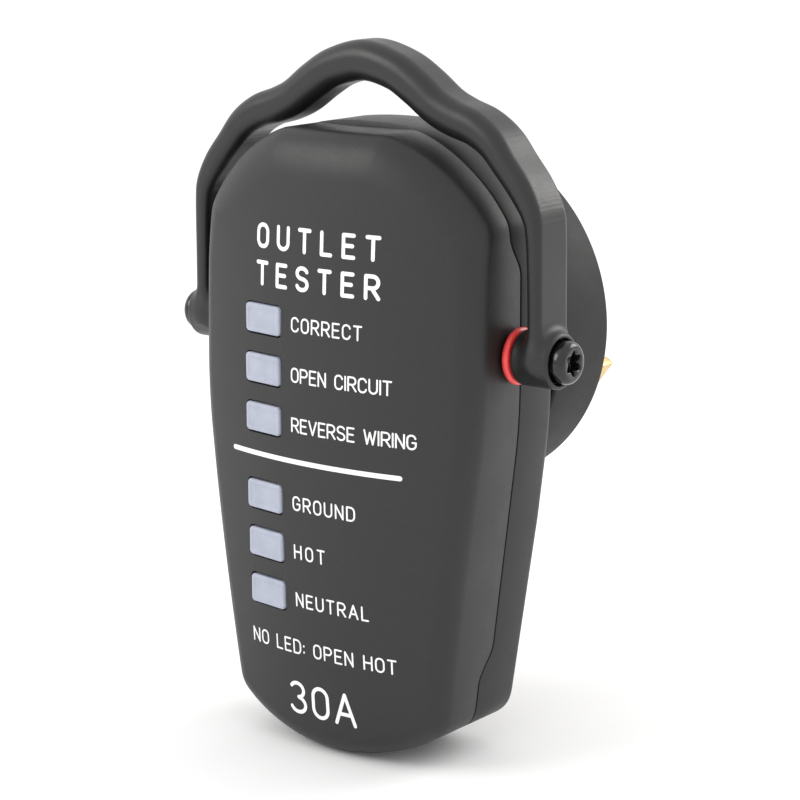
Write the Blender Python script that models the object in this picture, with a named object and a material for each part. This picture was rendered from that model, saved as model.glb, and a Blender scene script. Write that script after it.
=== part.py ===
"""Outlet tester plug: a hand-held case with six lamps, a three-contact plug and a bail handle.

Frame: the origin is the centre of the plug face, +Y points into the outlet, -Y is the front
of the case, +Z is up.  All dimensions below are in millimetres.
"""
import math

import bmesh
import bpy
from mathutils import Matrix, Vector

MM = 0.001
GAP = 0.3                       # clearance between pieces that touch

# Case outline, seen from the front
HEAD_RADIUS = 41.7
HEAD_CENTRE_Z = 1.3
TOP_Z = 41.0
TOP_FLAT = math.sqrt(HEAD_RADIUS ** 2 - (TOP_Z - HEAD_CENTRE_Z) ** 2)   # half of the flat top
HALF_WIDTH = 34.6
TAPER_START_Z = -13.7
TAPER_SLOPE = 0.122             # loss of half width per millimetre of drop
BOTTOM_Z = -84.1
BOTTOM_RADIUS = 47.0
TOP_CORNER_RADIUS = 5.0
SIDE_CORNER_RADIUS = 6.0
BOTTOM_CORNER_RADIUS = 6.0
REAR_TOP_RISE = 0.9             # the rear shell's top is arched a little above the front's
OUTLINE_POINTS = 64

# Case in depth
FACE_Y = -50.0
FACE_CENTRE_Z = -20.7
CROWN_ACROSS = 0.0052           # depth = coefficient * distance squared
CROWN_ALONG = 0.0007
SEAM_Y = -29.0
SEAM_END_Y = -32.5
FOOT_CORNER_X = 26.3            # where the foot's arc meets the tapered side
SIDE_RADIUS = 120.0             # bend of the side at its widest
SEAM_STEP_TOP_Z = 18.4
SEAM_STEP_BOTTOM_Z = -64.0
SEAM_STEP_LENGTH = (8.0, 8.0)    # at the head and at the foot
REAR_Y = -16.8
REAR_TAIL_RISE = 2.2            # the tail's back comes forward by this much at the bottom
REAR_TAIL_START_Z = -36.0
REAR_EDGE_RADIUS = 2.6
WALL = 2.2
SIDE_EDGE = 4.2                 # soft front edge: width inwards and depth backwards
TOP_EDGE = 9.0
TOP_EDGE_DEPTH = 5.2
LIP_HEIGHT = 1.5
LIP_THICKNESS = 1.2

# Lamp windows
WINDOW_X = -13.47
WINDOW_WIDTH = 9.95
WINDOW_HEIGHT = 5.86
WINDOW_CORNER = 0.9
WINDOW_PITCH = 10.0
FIRST_WINDOW_Z = 3.6
SECOND_GROUP_Z = -32.3
LAMP_NAMES = ("correct", "open_circuit", "reverse_wiring", "ground", "hot", "neutral")
LENS_PROUD = 0.35
LENS_DEPTH = 3.5
FLANGE_DEPTH = 0.9
FLANGE_BORDER = 0.9

# Handle and its pivot
PIVOT_Y = -30.7
PIVOT_Z = -0.7
HANDLE_CORNER = 0.44            # corner radius as a share of the thickness
BOSS_RADIUS = 5.4
BOSS_INNER_X = 36.9
BOSS_OUTER_X = 45.6
HEAD_RECESS_DEPTH = 1.2
HEAD_RECESS_RADIUS = 4.5
PIVOT_BORE_RADIUS = 2.3
SCREW_HEAD_RADIUS = 4.2
SCREW_HEAD_HEIGHT = 3.6
SCREW_RADIUS = 1.9
SCREW_TIP_X = 27.5
LOBE_RADIUS = 1.7
LOBE_DEPTH = 1.4
RING_RADIUS = 5.6
RING_BORE_RADIUS = 2.5
RING_X = (35.1, 36.6)
INSERT_RADIUS = 3.2
INSERT_X = (26.0, 31.0)
LUG_HALF_HEIGHT = 5.5
LUG_FRONT_Y = -37.5

# Half of the handle's centre line, relative to the pivot: x, height, thickness, front-to-back depth
HANDLE_STATIONS = (
    (0.0, 54.5, 8.0, 11.0),
    (7.4, 52.9, 7.7, 11.0),
    (12.7, 50.0, 7.6, 11.0),
    (17.6, 46.6, 7.3, 11.0),
    (21.8, 44.7, 7.15, 11.0),
    (26.8, 43.1, 6.8, 11.0),
    (31.0, 40.5, 6.2, 11.0),
    (34.6, 36.5, 5.5, 11.0),
    (38.2, 32.2, 5.3, 10.9),
    (40.8, 27.8, 4.4, 10.7),
    (41.6, 23.5, 3.6, 10.5),
    (41.9, 12.0, 3.2, 10.3),
    (42.0, 0.0, 3.2, 10.3),
)

# Plug
BARREL_RADIUS = 35.7
BARREL_WALL = 3.0
BARREL_FLOOR = 2.7
PLATE_THICKNESS = 6.0
BLADE_WIDTH = 12.0
BLADE_THICKNESS = 2.3
BLADE_LENGTH = 28.8
BLADE_X = 14.0
BLADE_Z = -18.2
BLADE_TILT = math.radians(52)
PLUG_COUNTERBORE_Y = -2.6       # seat of the disc's screws
TERMINAL_HALF_X = 2.6
TERMINAL_HALF_Z = 2.2
TAIL_LENGTH = 4.0               # how far a contact reaches inside past the plate
PIN_RADIUS = 3.2
PIN_LENGTH = 29.0
PIN_Z = 7.6
CABLE_HOLE_RADIUS = 10.0
PLUG_SCREW_CIRCLE = 27.0
BARREL_SCREW_CIRCLE = 20.0
TERMINAL_Y = (-13.4, -10.3)
WIRE_RADIUS = 1.1

# Fastenings and the board
CASE_POSTS = ((22.0, 26.0), (-22.0, 26.0), (17.0, -71.0), (-17.0, -71.0))
FRONT_POST_RADIUS = 3.2
REAR_POST_RADIUS = 4.2
PILOT_RADIUS = 1.6
CASE_SCREW_RADIUS = 1.25
CASE_HEAD_RADIUS = 2.75
COUNTERBORE_RADIUS = 3.1
COUNTERBORE_Y = -22.0
BOARD_POSTS = ((15.0, 8.3), (15.0, -57.7))
BOARD_POST_RADIUS = 2.4
BOARD_X = (-21.0, 21.0)
BOARD_Z = (-62.7, 13.3)
BOARD_Y = (-38.2, -36.6)
FRAME_X = (-20.2, -6.8)
FRAME_Z = (-57.0, 8.0)
FRAME_Y = (-43.2, -38.5)
LAMP_RADIUS = 2.4


# ---------------------------------------------------------------- helpers

def clear_scene():
    for obj in list(bpy.data.objects):
        bpy.data.objects.remove(obj, do_unlink=True)


def material(name, colour, roughness, metallic=0.0):
    mat = bpy.data.materials.new(name)
    mat.use_nodes = True
    shader = mat.node_tree.nodes["Principled BSDF"]
    shader.inputs["Base Color"].default_value = (*colour, 1.0)
    shader.inputs["Roughness"].default_value = roughness
    shader.inputs["Metallic"].default_value = metallic
    return mat


def make(name, bm, mat, origin=(0.0, 0.0, 0.0), parent=None):
    """Turn a mesh in millimetres and world axes into an object whose origin is at `origin`."""
    bmesh.ops.translate(bm, verts=bm.verts, vec=-Vector(origin))
    bmesh.ops.scale(bm, verts=bm.verts, vec=(MM, MM, MM))
    bmesh.ops.recalc_face_normals(bm, faces=bm.faces)
    mesh = bpy.data.meshes.new(name)
    bm.to_mesh(mesh)
    bm.free()
    mesh.shade_smooth()
    mesh.set_sharp_from_angle(angle=math.radians(35))
    obj = bpy.data.objects.new(name, mesh)
    bpy.context.collection.objects.link(obj)
    obj.location = Vector(origin) * MM
    if mat:
        mesh.materials.append(mat)
    if parent:
        obj.parent = parent
        obj.location = Vector(origin) * MM - parent.location
    return obj


def combine(obj, name, bm, operation):
    """Add or cut a helper shape with a Boolean that stays on the object."""
    helper = make(name, bm, None)
    helper.hide_render = True
    helper.display_type = 'WIRE'
    modifier = obj.modifiers.new(name, 'BOOLEAN')
    modifier.operation = operation
    modifier.solver = 'EXACT'
    modifier.object = helper


def loft(bm, rings, start=None, end=None):
    """Skin closed rings of equal length; each end is a pole point or a flat face."""
    loops = [[bm.verts.new(point) for point in ring] for ring in rings]
    count = len(loops[0])
    for here, there in zip(loops, loops[1:]):
        for i in range(count):
            j = (i + 1) % count
            bm.faces.new((here[i], here[j], there[j], there[i]))
    for pole, loop in ((start, loops[0]), (end, loops[-1])):
        if pole is None:
            bm.faces.new(loop)
            continue
        tip = bm.verts.new(pole)
        for i in range(count):
            bm.faces.new((tip, loop[i], loop[(i + 1) % count]))
    return bm


def turned(bm, profile, segments, matrix):
    """Revolve a closed profile of (radius, distance along the axis) about the matrix's Z axis."""
    rings = []
    for k in range(segments):
        angle = math.tau * k / segments
        rings.append([bm.verts.new(matrix @ Vector((r * math.cos(angle), r * math.sin(angle), h)))
                      for r, h in profile])
    count = len(profile)
    for k in range(segments):
        here = rings[k]
        there = rings[(k + 1) % segments]
        for i in range(count):
            j = (i + 1) % count
            bm.faces.new((here[i], here[j], there[j], there[i]))
    return bm


def solid_of_revolution(bm, profile, segments, matrix):
    """Revolve an open profile of (radius, height) that is closed by a pole at each end."""
    rings = []
    for r, h in profile:
        rings.append([matrix @ Vector((r * math.cos(math.tau * k / segments),
                                       r * math.sin(math.tau * k / segments), h))
                      for k in range(segments)])
    return loft(bm, rings)


def axis_matrix(direction, x=0.0, y=0.0, z=0.0):
    """A frame at (x, y, z) whose local Z points along +X, -X, +Y or -Y."""
    turn = {"+X": Matrix.Rotation(math.pi / 2, 4, 'Y'),
            "-X": Matrix.Rotation(-math.pi / 2, 4, 'Y'),
            "+Y": Matrix.Rotation(-math.pi / 2, 4, 'X'),
            "-Y": Matrix.Rotation(math.pi / 2, 4, 'X')}[direction]
    return Matrix.Translation((x, y, z)) @ turn


def cylinder(bm, radius, low, high, direction, at, segments=16):
    """A plain cylinder along +X or +Y between two positions on that axis."""
    x, y, z = at
    frame = axis_matrix(direction, 0.0 if direction == "+X" else x,
                        0.0 if direction == "+Y" else y, z)
    return solid_of_revolution(bm, ((radius, low), (radius, high)), segments, frame)


def box(bm, x, y, z):
    """A plain box from three (low, high) pairs."""
    corners = [[Vector((px, py, pz)) for px, pz in
                ((x[0], z[0]), (x[1], z[0]), (x[1], z[1]), (x[0], z[1]))] for py in y]
    return loft(bm, corners)


def rounded_rectangle(width, height, radius, steps=3):
    """Corner-rounded rectangle about the origin, as (across, up) pairs."""
    points = []
    for corner, (sx, sz) in enumerate(((1, 1), (-1, 1), (-1, -1), (1, -1))):
        for k in range(steps + 1):
            angle = math.pi / 2 * (corner + k / steps)
            points.append((sx * (width / 2 - radius) + radius * math.cos(angle),
                           sz * (height / 2 - radius) + radius * math.sin(angle)))
    return points


# ---------------------------------------------------------------- case shape

def fillet(corner, before, after, radius, steps=6):
    """Points of an arc of `radius` that rounds the corner between two neighbours."""
    corner = Vector(corner)
    to_before = (Vector(before) - corner).normalized()
    to_after = (Vector(after) - corner).normalized()
    half = to_before.angle(to_after) / 2
    reach = radius / math.tan(half)
    centre = corner + (to_before + to_after).normalized() * radius / math.sin(half)
    start = (corner + to_before * reach - centre).normalized()
    end = (corner + to_after * reach - centre).normalized()
    return [centre + start.slerp(end, k / steps) * radius for k in range(steps + 1)]


def half_outline():
    """Right half of the case outline from the top centre to the bottom centre."""
    def head(x):
        return HEAD_CENTRE_Z + math.sqrt(HEAD_RADIUS ** 2 - x ** 2)

    def bottom(x):
        return BOTTOM_Z + BOTTOM_RADIUS - math.sqrt(BOTTOM_RADIUS ** 2 - x ** 2)

    arc_xs = [TOP_FLAT + (HALF_WIDTH - TOP_FLAT) * k / 12 for k in range(13)]
    arc = [(x, head(x)) for x in arc_xs]
    corner_x = FOOT_CORNER_X
    foot = (corner_x, bottom(corner_x))
    shoulder = (HALF_WIDTH, TAPER_START_Z)
    low_side = (HALF_WIDTH - TAPER_SLOPE * (TAPER_START_Z + 60.0), -60.0)
    top = [(TOP_FLAT * k / 4, TOP_Z) for k in range(4)]
    points = [Vector(p) for p in top]
    points += fillet(arc[0], top[-1], arc[2], TOP_CORNER_RADIUS)
    points += [Vector(p) for p in arc[2:-2]]
    points += fillet(arc[-1], arc[-3], (HALF_WIDTH, 0.0), SIDE_CORNER_RADIUS)
    points += fillet(shoulder, (HALF_WIDTH, 0.0), low_side, SIDE_RADIUS)
    points += fillet(foot, low_side, (corner_x - 5, bottom(corner_x - 5)), BOTTOM_CORNER_RADIUS)
    points += [Vector((x, bottom(x))) for x in (18.0, 12.0, 6.0, 0.0)]
    return points


def outline(count=OUTLINE_POINTS, rise=0.0):
    """The whole case outline as evenly spaced (x, z) points, clockwise from the top centre."""
    right = half_outline()
    left = [Vector((-p.x, p.y)) for p in reversed(right[1:-1])]
    path = right + left + [right[0]]
    lengths = [0.0]
    for a, b in zip(path, path[1:]):
        lengths.append(lengths[-1] + (b - a).length)
    points = []
    k = 0
    for i in range(count):
        target = lengths[-1] * i / count
        while lengths[k + 1] < target:
            k += 1
        share = (target - lengths[k]) / (lengths[k + 1] - lengths[k])
        point = path[k].lerp(path[k + 1], share)
        if point.y > TOP_Z - 0.1:
            point.y += rise * (1 - (point.x / TOP_FLAT) ** 2)
        points.append(point)
    return points


def inset(points, distances):
    """Move each outline point inwards by its own distance."""
    count = len(points)
    moved = []
    for i, point in enumerate(points):
        along = points[(i + 1) % count] - points[i - 1]
        inward = Vector((along.y, -along.x)).normalized()
        moved.append(point + inward * distances[i])
    return moved


def smooth_step(low, high, value):
    share = min(max((value - low) / (high - low), 0.0), 1.0)
    return share * share * (3 - 2 * share)


def face_y(x, z):
    """Depth of the crowned front face."""
    return FACE_Y + CROWN_ACROSS * x * x + CROWN_ALONG * (z - FACE_CENTRE_Z) ** 2


def seam_y(z):
    """Depth of the parting line, which steps forward at the head and at the foot."""
    head, foot = (length / 2 for length in SEAM_STEP_LENGTH)
    ends = (smooth_step(SEAM_STEP_TOP_Z - head, SEAM_STEP_TOP_Z + head, z)
            + smooth_step(-SEAM_STEP_BOTTOM_Z - foot, -SEAM_STEP_BOTTOM_Z + foot, -z))
    return SEAM_Y + (SEAM_END_Y - SEAM_Y) * ends


def rear_y(z):
    """Depth of the back, whose tail leans forward below the plug."""
    drop = max(REAR_TAIL_START_Z - z, 0.0) / (REAR_TAIL_START_Z - BOTTOM_Z)
    return REAR_Y - REAR_TAIL_RISE * drop


def edge_size(z):
    """Width and depth of the soft front edge, wide round the head and tight elsewhere."""
    share = smooth_step(12.0, 36.0, z)
    return (SIDE_EDGE + (TOP_EDGE - SIDE_EDGE) * share,
            SIDE_EDGE + (TOP_EDGE_DEPTH - SIDE_EDGE) * share)


def face_rings(points, wall):
    """Rings of the front surface from near the middle out to the side, `wall` inside it."""
    sizes = [edge_size(p.y) for p in points]
    rings = []
    for t in (1.0, 0.62, 0.34, 0.14, 0.0):
        spread = inset(points, [wall + (width - wall) * t for width, _ in sizes])
        fall = 1 - math.sqrt(1 - (1 - t) ** 2)
        rings.append([Vector((p.x, face_y(p.x, p.y) + wall + (depth - wall) * fall, p.y))
                      for p, (_, depth) in zip(spread, sizes)])
    edge = rings[0]
    for share in (0.66, 0.33):
        rings.insert(0, shrunk_ring(edge, share, lambda x, z: face_y(x, z) + wall))
    return rings


def shrunk_ring(ring, share, depth):
    """A ring scaled towards the middle of the face, at the depth that the function gives."""
    shrunk = []
    for p in ring:
        x = p.x * share
        z = FACE_CENTRE_Z + (p.z - FACE_CENTRE_Z) * share
        shrunk.append(Vector((x, depth(x, z), z)))
    return shrunk


def depth_ring(points, distance, depth):
    """A ring at `distance` inside the outline, at the depth that the function gives."""
    return [Vector((p.x, depth(p.y), p.y)) for p in inset(points, [distance] * len(points))]


# ---------------------------------------------------------------- case

def window_places():
    """Centre height of each lamp window, from the top down."""
    return [FIRST_WINDOW_Z - WINDOW_PITCH * k for k in range(3)] + \
           [SECOND_GROUP_Z - WINDOW_PITCH * k for k in range(3)]


def window_prism(bm, z, border, front, back):
    """A rounded block square to the face at a window, between two depths from the face."""
    turn = Matrix.Rotation(math.atan(2 * CROWN_ACROSS * WINDOW_X), 4, 'Z')
    place = Matrix.Translation((WINDOW_X, face_y(WINDOW_X, z), z)) @ turn
    shape = rounded_rectangle(WINDOW_WIDTH + 2 * border, WINDOW_HEIGHT + 2 * border,
                              WINDOW_CORNER + max(border, 0.0))
    loft(bm, [[place @ Vector((x, depth, up)) for x, up in shape] for depth in (front, back)])


def build_front_shell(mat):
    points = outline()
    rings = face_rings(points, 0.0)
    rings.append(depth_ring(points, 0.0, seam_y))
    rings.append(depth_ring(points, WALL, seam_y))
    rings += reversed(face_rings(points, WALL))
    bm = bmesh.new()
    loft(bm, rings, start=(0.0, FACE_Y, FACE_CENTRE_Z), end=(0.0, FACE_Y + WALL, FACE_CENTRE_Z))
    shell = make("front_shell", bm, mat)

    bm = bmesh.new()
    for x, z in CASE_POSTS:
        cylinder(bm, FRONT_POST_RADIUS, face_y(x, z) + 1.2, SEAM_END_Y - GAP, "+Y", (x, 0, z))
    for x, z in BOARD_POSTS:
        cylinder(bm, BOARD_POST_RADIUS, face_y(x, z) + 1.2, BOARD_Y[0] - GAP, "+Y", (x, 0, z), 12)
    for side in (-1, 1):
        span = sorted((side * INSERT_X[0], side * (HALF_WIDTH - WALL / 2)))
        box(bm, span, (LUG_FRONT_Y, SEAM_Y - GAP),
            (PIVOT_Z - LUG_HALF_HEIGHT, PIVOT_Z + LUG_HALF_HEIGHT))
    combine(shell, "front_shell_posts", bm, 'UNION')

    bm = bmesh.new()
    for z in window_places():
        window_prism(bm, z, GAP, -2.0, WALL + 1.0)
    for x, z in CASE_POSTS:
        cylinder(bm, PILOT_RADIUS, face_y(x, z) + 4.0, SEAM_Y, "+Y", (x, 0, z), 12)
    for x, z in BOARD_POSTS:
        cylinder(bm, 1.2, face_y(x, z) + 3.0, SEAM_Y, "+Y", (x, 0, z), 12)
    for side in (-1, 1):
        pivot_cutters(bm, side)
    combine(shell, "front_shell_cuts", bm, 'DIFFERENCE')
    return shell


def pivot_cutters(bm, side):
    """One stepped cutter for the insert's pocket and the screw's way through the wall."""
    profile = ((INSERT_RADIUS + GAP, INSERT_X[0] - 1.0), (INSERT_RADIUS + GAP, INSERT_X[1] + GAP),
               (PIVOT_BORE_RADIUS, INSERT_X[1] + GAP), (PIVOT_BORE_RADIUS, HALF_WIDTH + 1.0))
    frame = axis_matrix("+X" if side > 0 else "-X", 0.0, PIVOT_Y, PIVOT_Z)
    solid_of_revolution(bm, profile, 16, frame)


def build_rear_shell(mat):
    points = outline(rise=REAR_TOP_RISE)
    plain = outline()
    lip = WALL + GAP
    rings = [shrunk_ring(depth_ring(points, 0.0, rear_y), 0.5, lambda x, z: rear_y(z))]
    for k in range(4):
        angle = math.pi / 2 * k / 3
        distance = REAR_EDGE_RADIUS * (1 - math.sin(angle))
        drop = REAR_EDGE_RADIUS * (1 - math.cos(angle))
        rings.append(depth_ring(points, distance, lambda z, drop=drop: rear_y(z) - drop))
    rings.append(depth_ring(points, 0.0, lambda z: seam_y(z) + GAP))
    rings.append(depth_ring(plain, lip, lambda z: seam_y(z) + GAP))
    rings.append(depth_ring(plain, lip, lambda z: seam_y(z) - LIP_HEIGHT))
    rings.append(depth_ring(plain, lip + LIP_THICKNESS, lambda z: seam_y(z) - LIP_HEIGHT))
    rings.append(depth_ring(plain, lip + LIP_THICKNESS, lambda z: rear_y(z) - WALL))
    rings.append(shrunk_ring(rings[-1], 0.5, lambda x, z: rear_y(z) - WALL))
    bm = bmesh.new()
    loft(bm, rings, start=(0.0, REAR_Y, FACE_CENTRE_Z), end=(0.0, REAR_Y - WALL, FACE_CENTRE_Z))
    shell = make("rear_shell", bm, mat)

    bm = bmesh.new()
    for x, z in CASE_POSTS:
        cylinder(bm, REAR_POST_RADIUS, SEAM_END_Y + GAP, rear_y(z) - WALL / 2, "+Y", (x, 0, z))
    combine(shell, "rear_shell_posts", bm, 'UNION')

    bm = bmesh.new()
    for x, z in CASE_POSTS:
        profile = ((PILOT_RADIUS, SEAM_END_Y - 1), (PILOT_RADIUS, COUNTERBORE_Y),
                   (COUNTERBORE_RADIUS, COUNTERBORE_Y), (COUNTERBORE_RADIUS, REAR_Y + 1))
        solid_of_revolution(bm, profile, 16, axis_matrix("+Y", x, 0.0, z))
    for x, z in barrel_screw_places():
        cylinder(bm, 1.5, REAR_Y - WALL - 1, REAR_Y + 1, "+Y", (x, 0, z), 12)
    cylinder(bm, CABLE_HOLE_RADIUS, REAR_Y - WALL - 1, REAR_Y + 1, "+Y", (0, 0, 0), 24)
    for side in (-1, 1):
        span = sorted((side * (INSERT_X[0] - 1), side * (HALF_WIDTH - WALL - GAP / 2)))
        box(bm, span, (SEAM_Y - LIP_HEIGHT - 1, PIVOT_Y + INSERT_RADIUS + 2 * GAP),
            (PIVOT_Z - LUG_HALF_HEIGHT - 1, PIVOT_Z + LUG_HALF_HEIGHT + 1))
        wall_span = sorted((side * (HALF_WIDTH - WALL - GAP / 3), side * (HALF_WIDTH + 1)))
        cylinder(bm, PIVOT_BORE_RADIUS, *wall_span, "+X", (0, PIVOT_Y, PIVOT_Z))
    combine(shell, "rear_shell_cuts", bm, 'DIFFERENCE')
    return shell


def build_lens(name, z, mat):
    """A stepped block: the lit window, slightly proud of the face, and a flange behind the wall."""
    bm = bmesh.new()
    turn = Matrix.Rotation(math.atan(2 * CROWN_ACROSS * WINDOW_X), 4, 'Z')
    place = Matrix.Translation((WINDOW_X, face_y(WINDOW_X, z), z)) @ turn
    rings = []
    for border, depth in ((-0.3, -LENS_PROUD), (0.0, -LENS_PROUD + 0.3),
                          (0.0, LENS_DEPTH - FLANGE_DEPTH), (FLANGE_BORDER, LENS_DEPTH - FLANGE_DEPTH),
                          (FLANGE_BORDER, LENS_DEPTH)):
        shape = rounded_rectangle(WINDOW_WIDTH + 2 * border, WINDOW_HEIGHT + 2 * border,
                                  WINDOW_CORNER + border)
        rings.append([place @ Vector((x, depth, up)) for x, up in shape])
    loft(bm, rings)
    return make(name, bm, mat)


# ---------------------------------------------------------------- handle

def catmull_rom(a, b, c, d, t):
    return 0.5 * (2 * b + (c - a) * t + (2 * a - 5 * b + 4 * c - d) * t * t
                  + (3 * b - a - 3 * c + d) * t ** 3)


def handle_path(steps=2):
    """Smooth (x, height, thickness, depth) stations from the left pivot over to the right."""
    right = [Vector(s) for s in HANDLE_STATIONS]
    left = [Vector((-s.x, s.y, s.z, s.w)) for s in reversed(right[1:])]
    knots = left + right
    knots = [knots[0]] + knots + [knots[-1]]
    path = []
    for i in range(1, len(knots) - 2):
        path += [catmull_rom(*knots[i - 1:i + 3], k / steps) for k in range(steps)]
    return path + [knots[-2]]


def build_handle(mat, hinge):
    path = handle_path()
    rings = []
    for i, here in enumerate(path):
        before = path[max(i - 1, 0)]
        after = path[min(i + 1, len(path) - 1)]
        along = Vector((after.x - before.x, after.y - before.y)).normalized()
        normal = Vector((-along.y, along.x))
        shape = rounded_rectangle(here.w, here.z, here.z * HANDLE_CORNER, 3)
        rings.append([Vector((here.x + normal.x * up, PIVOT_Y + across, PIVOT_Z + here.y + normal.y * up))
                      for across, up in shape])
    bm = bmesh.new()
    loft(bm, rings)
    handle = make("handle", bm, mat, (0.0, PIVOT_Y, PIVOT_Z), hinge)

    bm = bmesh.new()
    for side in (-1, 1):
        frame = axis_matrix("+X" if side > 0 else "-X", 0.0, PIVOT_Y, PIVOT_Z)
        profile = ((BOSS_RADIUS, BOSS_INNER_X), (BOSS_RADIUS, BOSS_OUTER_X - 0.8),
                   (BOSS_RADIUS - 0.6, BOSS_OUTER_X))
        solid_of_revolution(bm, profile, 24, frame)
    combine(handle, "handle_bosses", bm, 'UNION')

    bm = bmesh.new()
    for side in (-1, 1):
        frame = axis_matrix("+X" if side > 0 else "-X", 0.0, PIVOT_Y, PIVOT_Z)
        floor = BOSS_OUTER_X - HEAD_RECESS_DEPTH
        profile = ((PIVOT_BORE_RADIUS, BOSS_INNER_X - 1), (PIVOT_BORE_RADIUS, floor),
                   (HEAD_RECESS_RADIUS, floor), (HEAD_RECESS_RADIUS, BOSS_OUTER_X + 1))
        solid_of_revolution(bm, profile, 20, frame)
    combine(handle, "handle_bores", bm, 'DIFFERENCE')
    return handle


def build_handle_screw(name, side, mat):
    """Pan head with a six-lobed recess, and a plain shank."""
    frame = axis_matrix("+X" if side > 0 else "-X", 0.0, PIVOT_Y, PIVOT_Z)
    seat = BOSS_OUTER_X - HEAD_RECESS_DEPTH + GAP
    top = seat + SCREW_HEAD_HEIGHT
    profile = ((SCREW_RADIUS, SCREW_TIP_X), (SCREW_RADIUS, seat), (SCREW_HEAD_RADIUS, seat),
               (SCREW_HEAD_RADIUS, seat + 0.9), (SCREW_HEAD_RADIUS * 0.9, top - 0.7),
               (SCREW_HEAD_RADIUS * 0.7, top - 0.15), (SCREW_HEAD_RADIUS * 0.45, top))
    bm = solid_of_revolution(bmesh.new(), profile, 20, frame)
    screw = make(name, bm, mat)

    lobes = []
    for k in range(18):
        angle = math.tau * k / 18
        reach = LOBE_RADIUS * (0.86 + 0.14 * math.cos(6 * angle))
        lobes.append((reach * math.cos(angle), reach * math.sin(angle)))
    rings = [[frame @ Vector((x, y, h)) for x, y in lobes] for h in (top - LOBE_DEPTH, top + 1)]
    combine(screw, name + "_recess", loft(bmesh.new(), rings), 'DIFFERENCE')
    return screw


def build_friction_ring(name, side, mat):
    frame = axis_matrix("+X" if side > 0 else "-X", 0.0, PIVOT_Y, PIVOT_Z)
    low, high = RING_X
    soft = 0.5
    profile = ((RING_BORE_RADIUS, low), (RING_RADIUS - soft, low), (RING_RADIUS, (low + high) / 2),
               (RING_RADIUS - soft, high), (RING_BORE_RADIUS, high))
    return make(name, turned(bmesh.new(), profile, 20, frame), mat)


def build_insert(name, side, mat):
    frame = axis_matrix("+X" if side > 0 else "-X", 0.0, PIVOT_Y, PIVOT_Z)
    bore = SCREW_RADIUS + GAP
    profile = ((bore, INSERT_X[0]), (INSERT_RADIUS, INSERT_X[0]),
               (INSERT_RADIUS, INSERT_X[1]), (bore, INSERT_X[1]))
    return make(name, turned(bmesh.new(), profile, 16, frame), mat)


# ---------------------------------------------------------------- plug

def circle_places(radius, first_angle, count=3):
    """Evenly spaced (x, z) places on a circle about the plug's axis."""
    return [(radius * math.cos(first_angle + math.tau * k / count),
             radius * math.sin(first_angle + math.tau * k / count)) for k in range(count)]


def barrel_screw_places():
    return circle_places(BARREL_SCREW_CIRCLE, math.radians(90))


def plug_screw_places():
    return circle_places(PLUG_SCREW_CIRCLE, math.radians(30))


def build_barrel(mat):
    """A cup that is open to the rear; its floor lies on the back of the case."""
    front = REAR_Y + GAP
    inner = BARREL_RADIUS - BARREL_WALL
    soft = 0.8
    profile = ((CABLE_HOLE_RADIUS, front), (BARREL_RADIUS - soft, front), (BARREL_RADIUS, front + soft),
               (BARREL_RADIUS, -soft), (BARREL_RADIUS - soft, 0.0), (inner, 0.0),
               (inner, front + BARREL_FLOOR), (CABLE_HOLE_RADIUS, front + BARREL_FLOOR))
    barrel = make("plug_barrel", turned(bmesh.new(), profile, 48, axis_matrix("+Y")), mat)

    bm = bmesh.new()
    for x, z in plug_screw_places():
        cylinder(bm, 3.4, front + BARREL_FLOOR / 2, -PLATE_THICKNESS - GAP, "+Y", (x, 0, z), 12)
    combine(barrel, "plug_barrel_posts", bm, 'UNION')

    bm = bmesh.new()
    for x, z in plug_screw_places():
        cylinder(bm, PILOT_RADIUS, front + BARREL_FLOOR, 0.0, "+Y", (x, 0, z), 12)
    for x, z in barrel_screw_places():
        cylinder(bm, 1.7, front - 1, front + BARREL_FLOOR + 1, "+Y", (x, 0, z), 12)
    combine(barrel, "plug_barrel_holes", bm, 'DIFFERENCE')
    return barrel


def blade_prism(bm, side, border, low, high, taper=0.0):
    """A flat contact set at 45 degrees, grown by `border`, between two depths."""
    place = Matrix.Translation((side * BLADE_X, 0.0, BLADE_Z)) @ \
        Matrix.Rotation(-side * BLADE_TILT, 4, 'Y')
    half_w = BLADE_WIDTH / 2 + border
    half_t = BLADE_THICKNESS / 2 + border
    rings = [(low, 0.0), (high - 2 * taper, 0.0), (high, taper)] if taper else [(low, 0.0), (high, 0.0)]
    shape = ((1, 1), (-1, 1), (-1, -1), (1, -1))
    loft(bm, [[place @ Vector((sx * (half_w - trim), y, sz * (half_t - trim)))
               for sx, sz in shape] for y, trim in rings])
    return bm


def build_plate(mat):
    """The plug face: a thick disc inside the barrel, slotted for the contacts."""
    radius = BARREL_RADIUS - BARREL_WALL - GAP
    bm = cylinder(bmesh.new(), radius, -PLATE_THICKNESS, 0.0, "+Y", (0, 0, 0), 48)
    plate = make("plug_plate", bm, mat)

    bm = bmesh.new()
    for side in (-1, 1):
        blade_prism(bm, side, GAP, -PLATE_THICKNESS - 1, 1.0)
    cylinder(bm, PIN_RADIUS + GAP, -PLATE_THICKNESS - 1, 1.0, "+Y", (0, 0, PIN_Z), 20)
    for x, z in plug_screw_places():
        profile = ((PILOT_RADIUS, -PLATE_THICKNESS - 1), (PILOT_RADIUS, PLUG_COUNTERBORE_Y),
                   (COUNTERBORE_RADIUS, PLUG_COUNTERBORE_Y), (COUNTERBORE_RADIUS, 1.0))
        solid_of_revolution(bm, profile, 16, axis_matrix("+Y", x, 0.0, z))
    combine(plate, "plug_plate_holes", bm, 'DIFFERENCE')
    return plate


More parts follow.
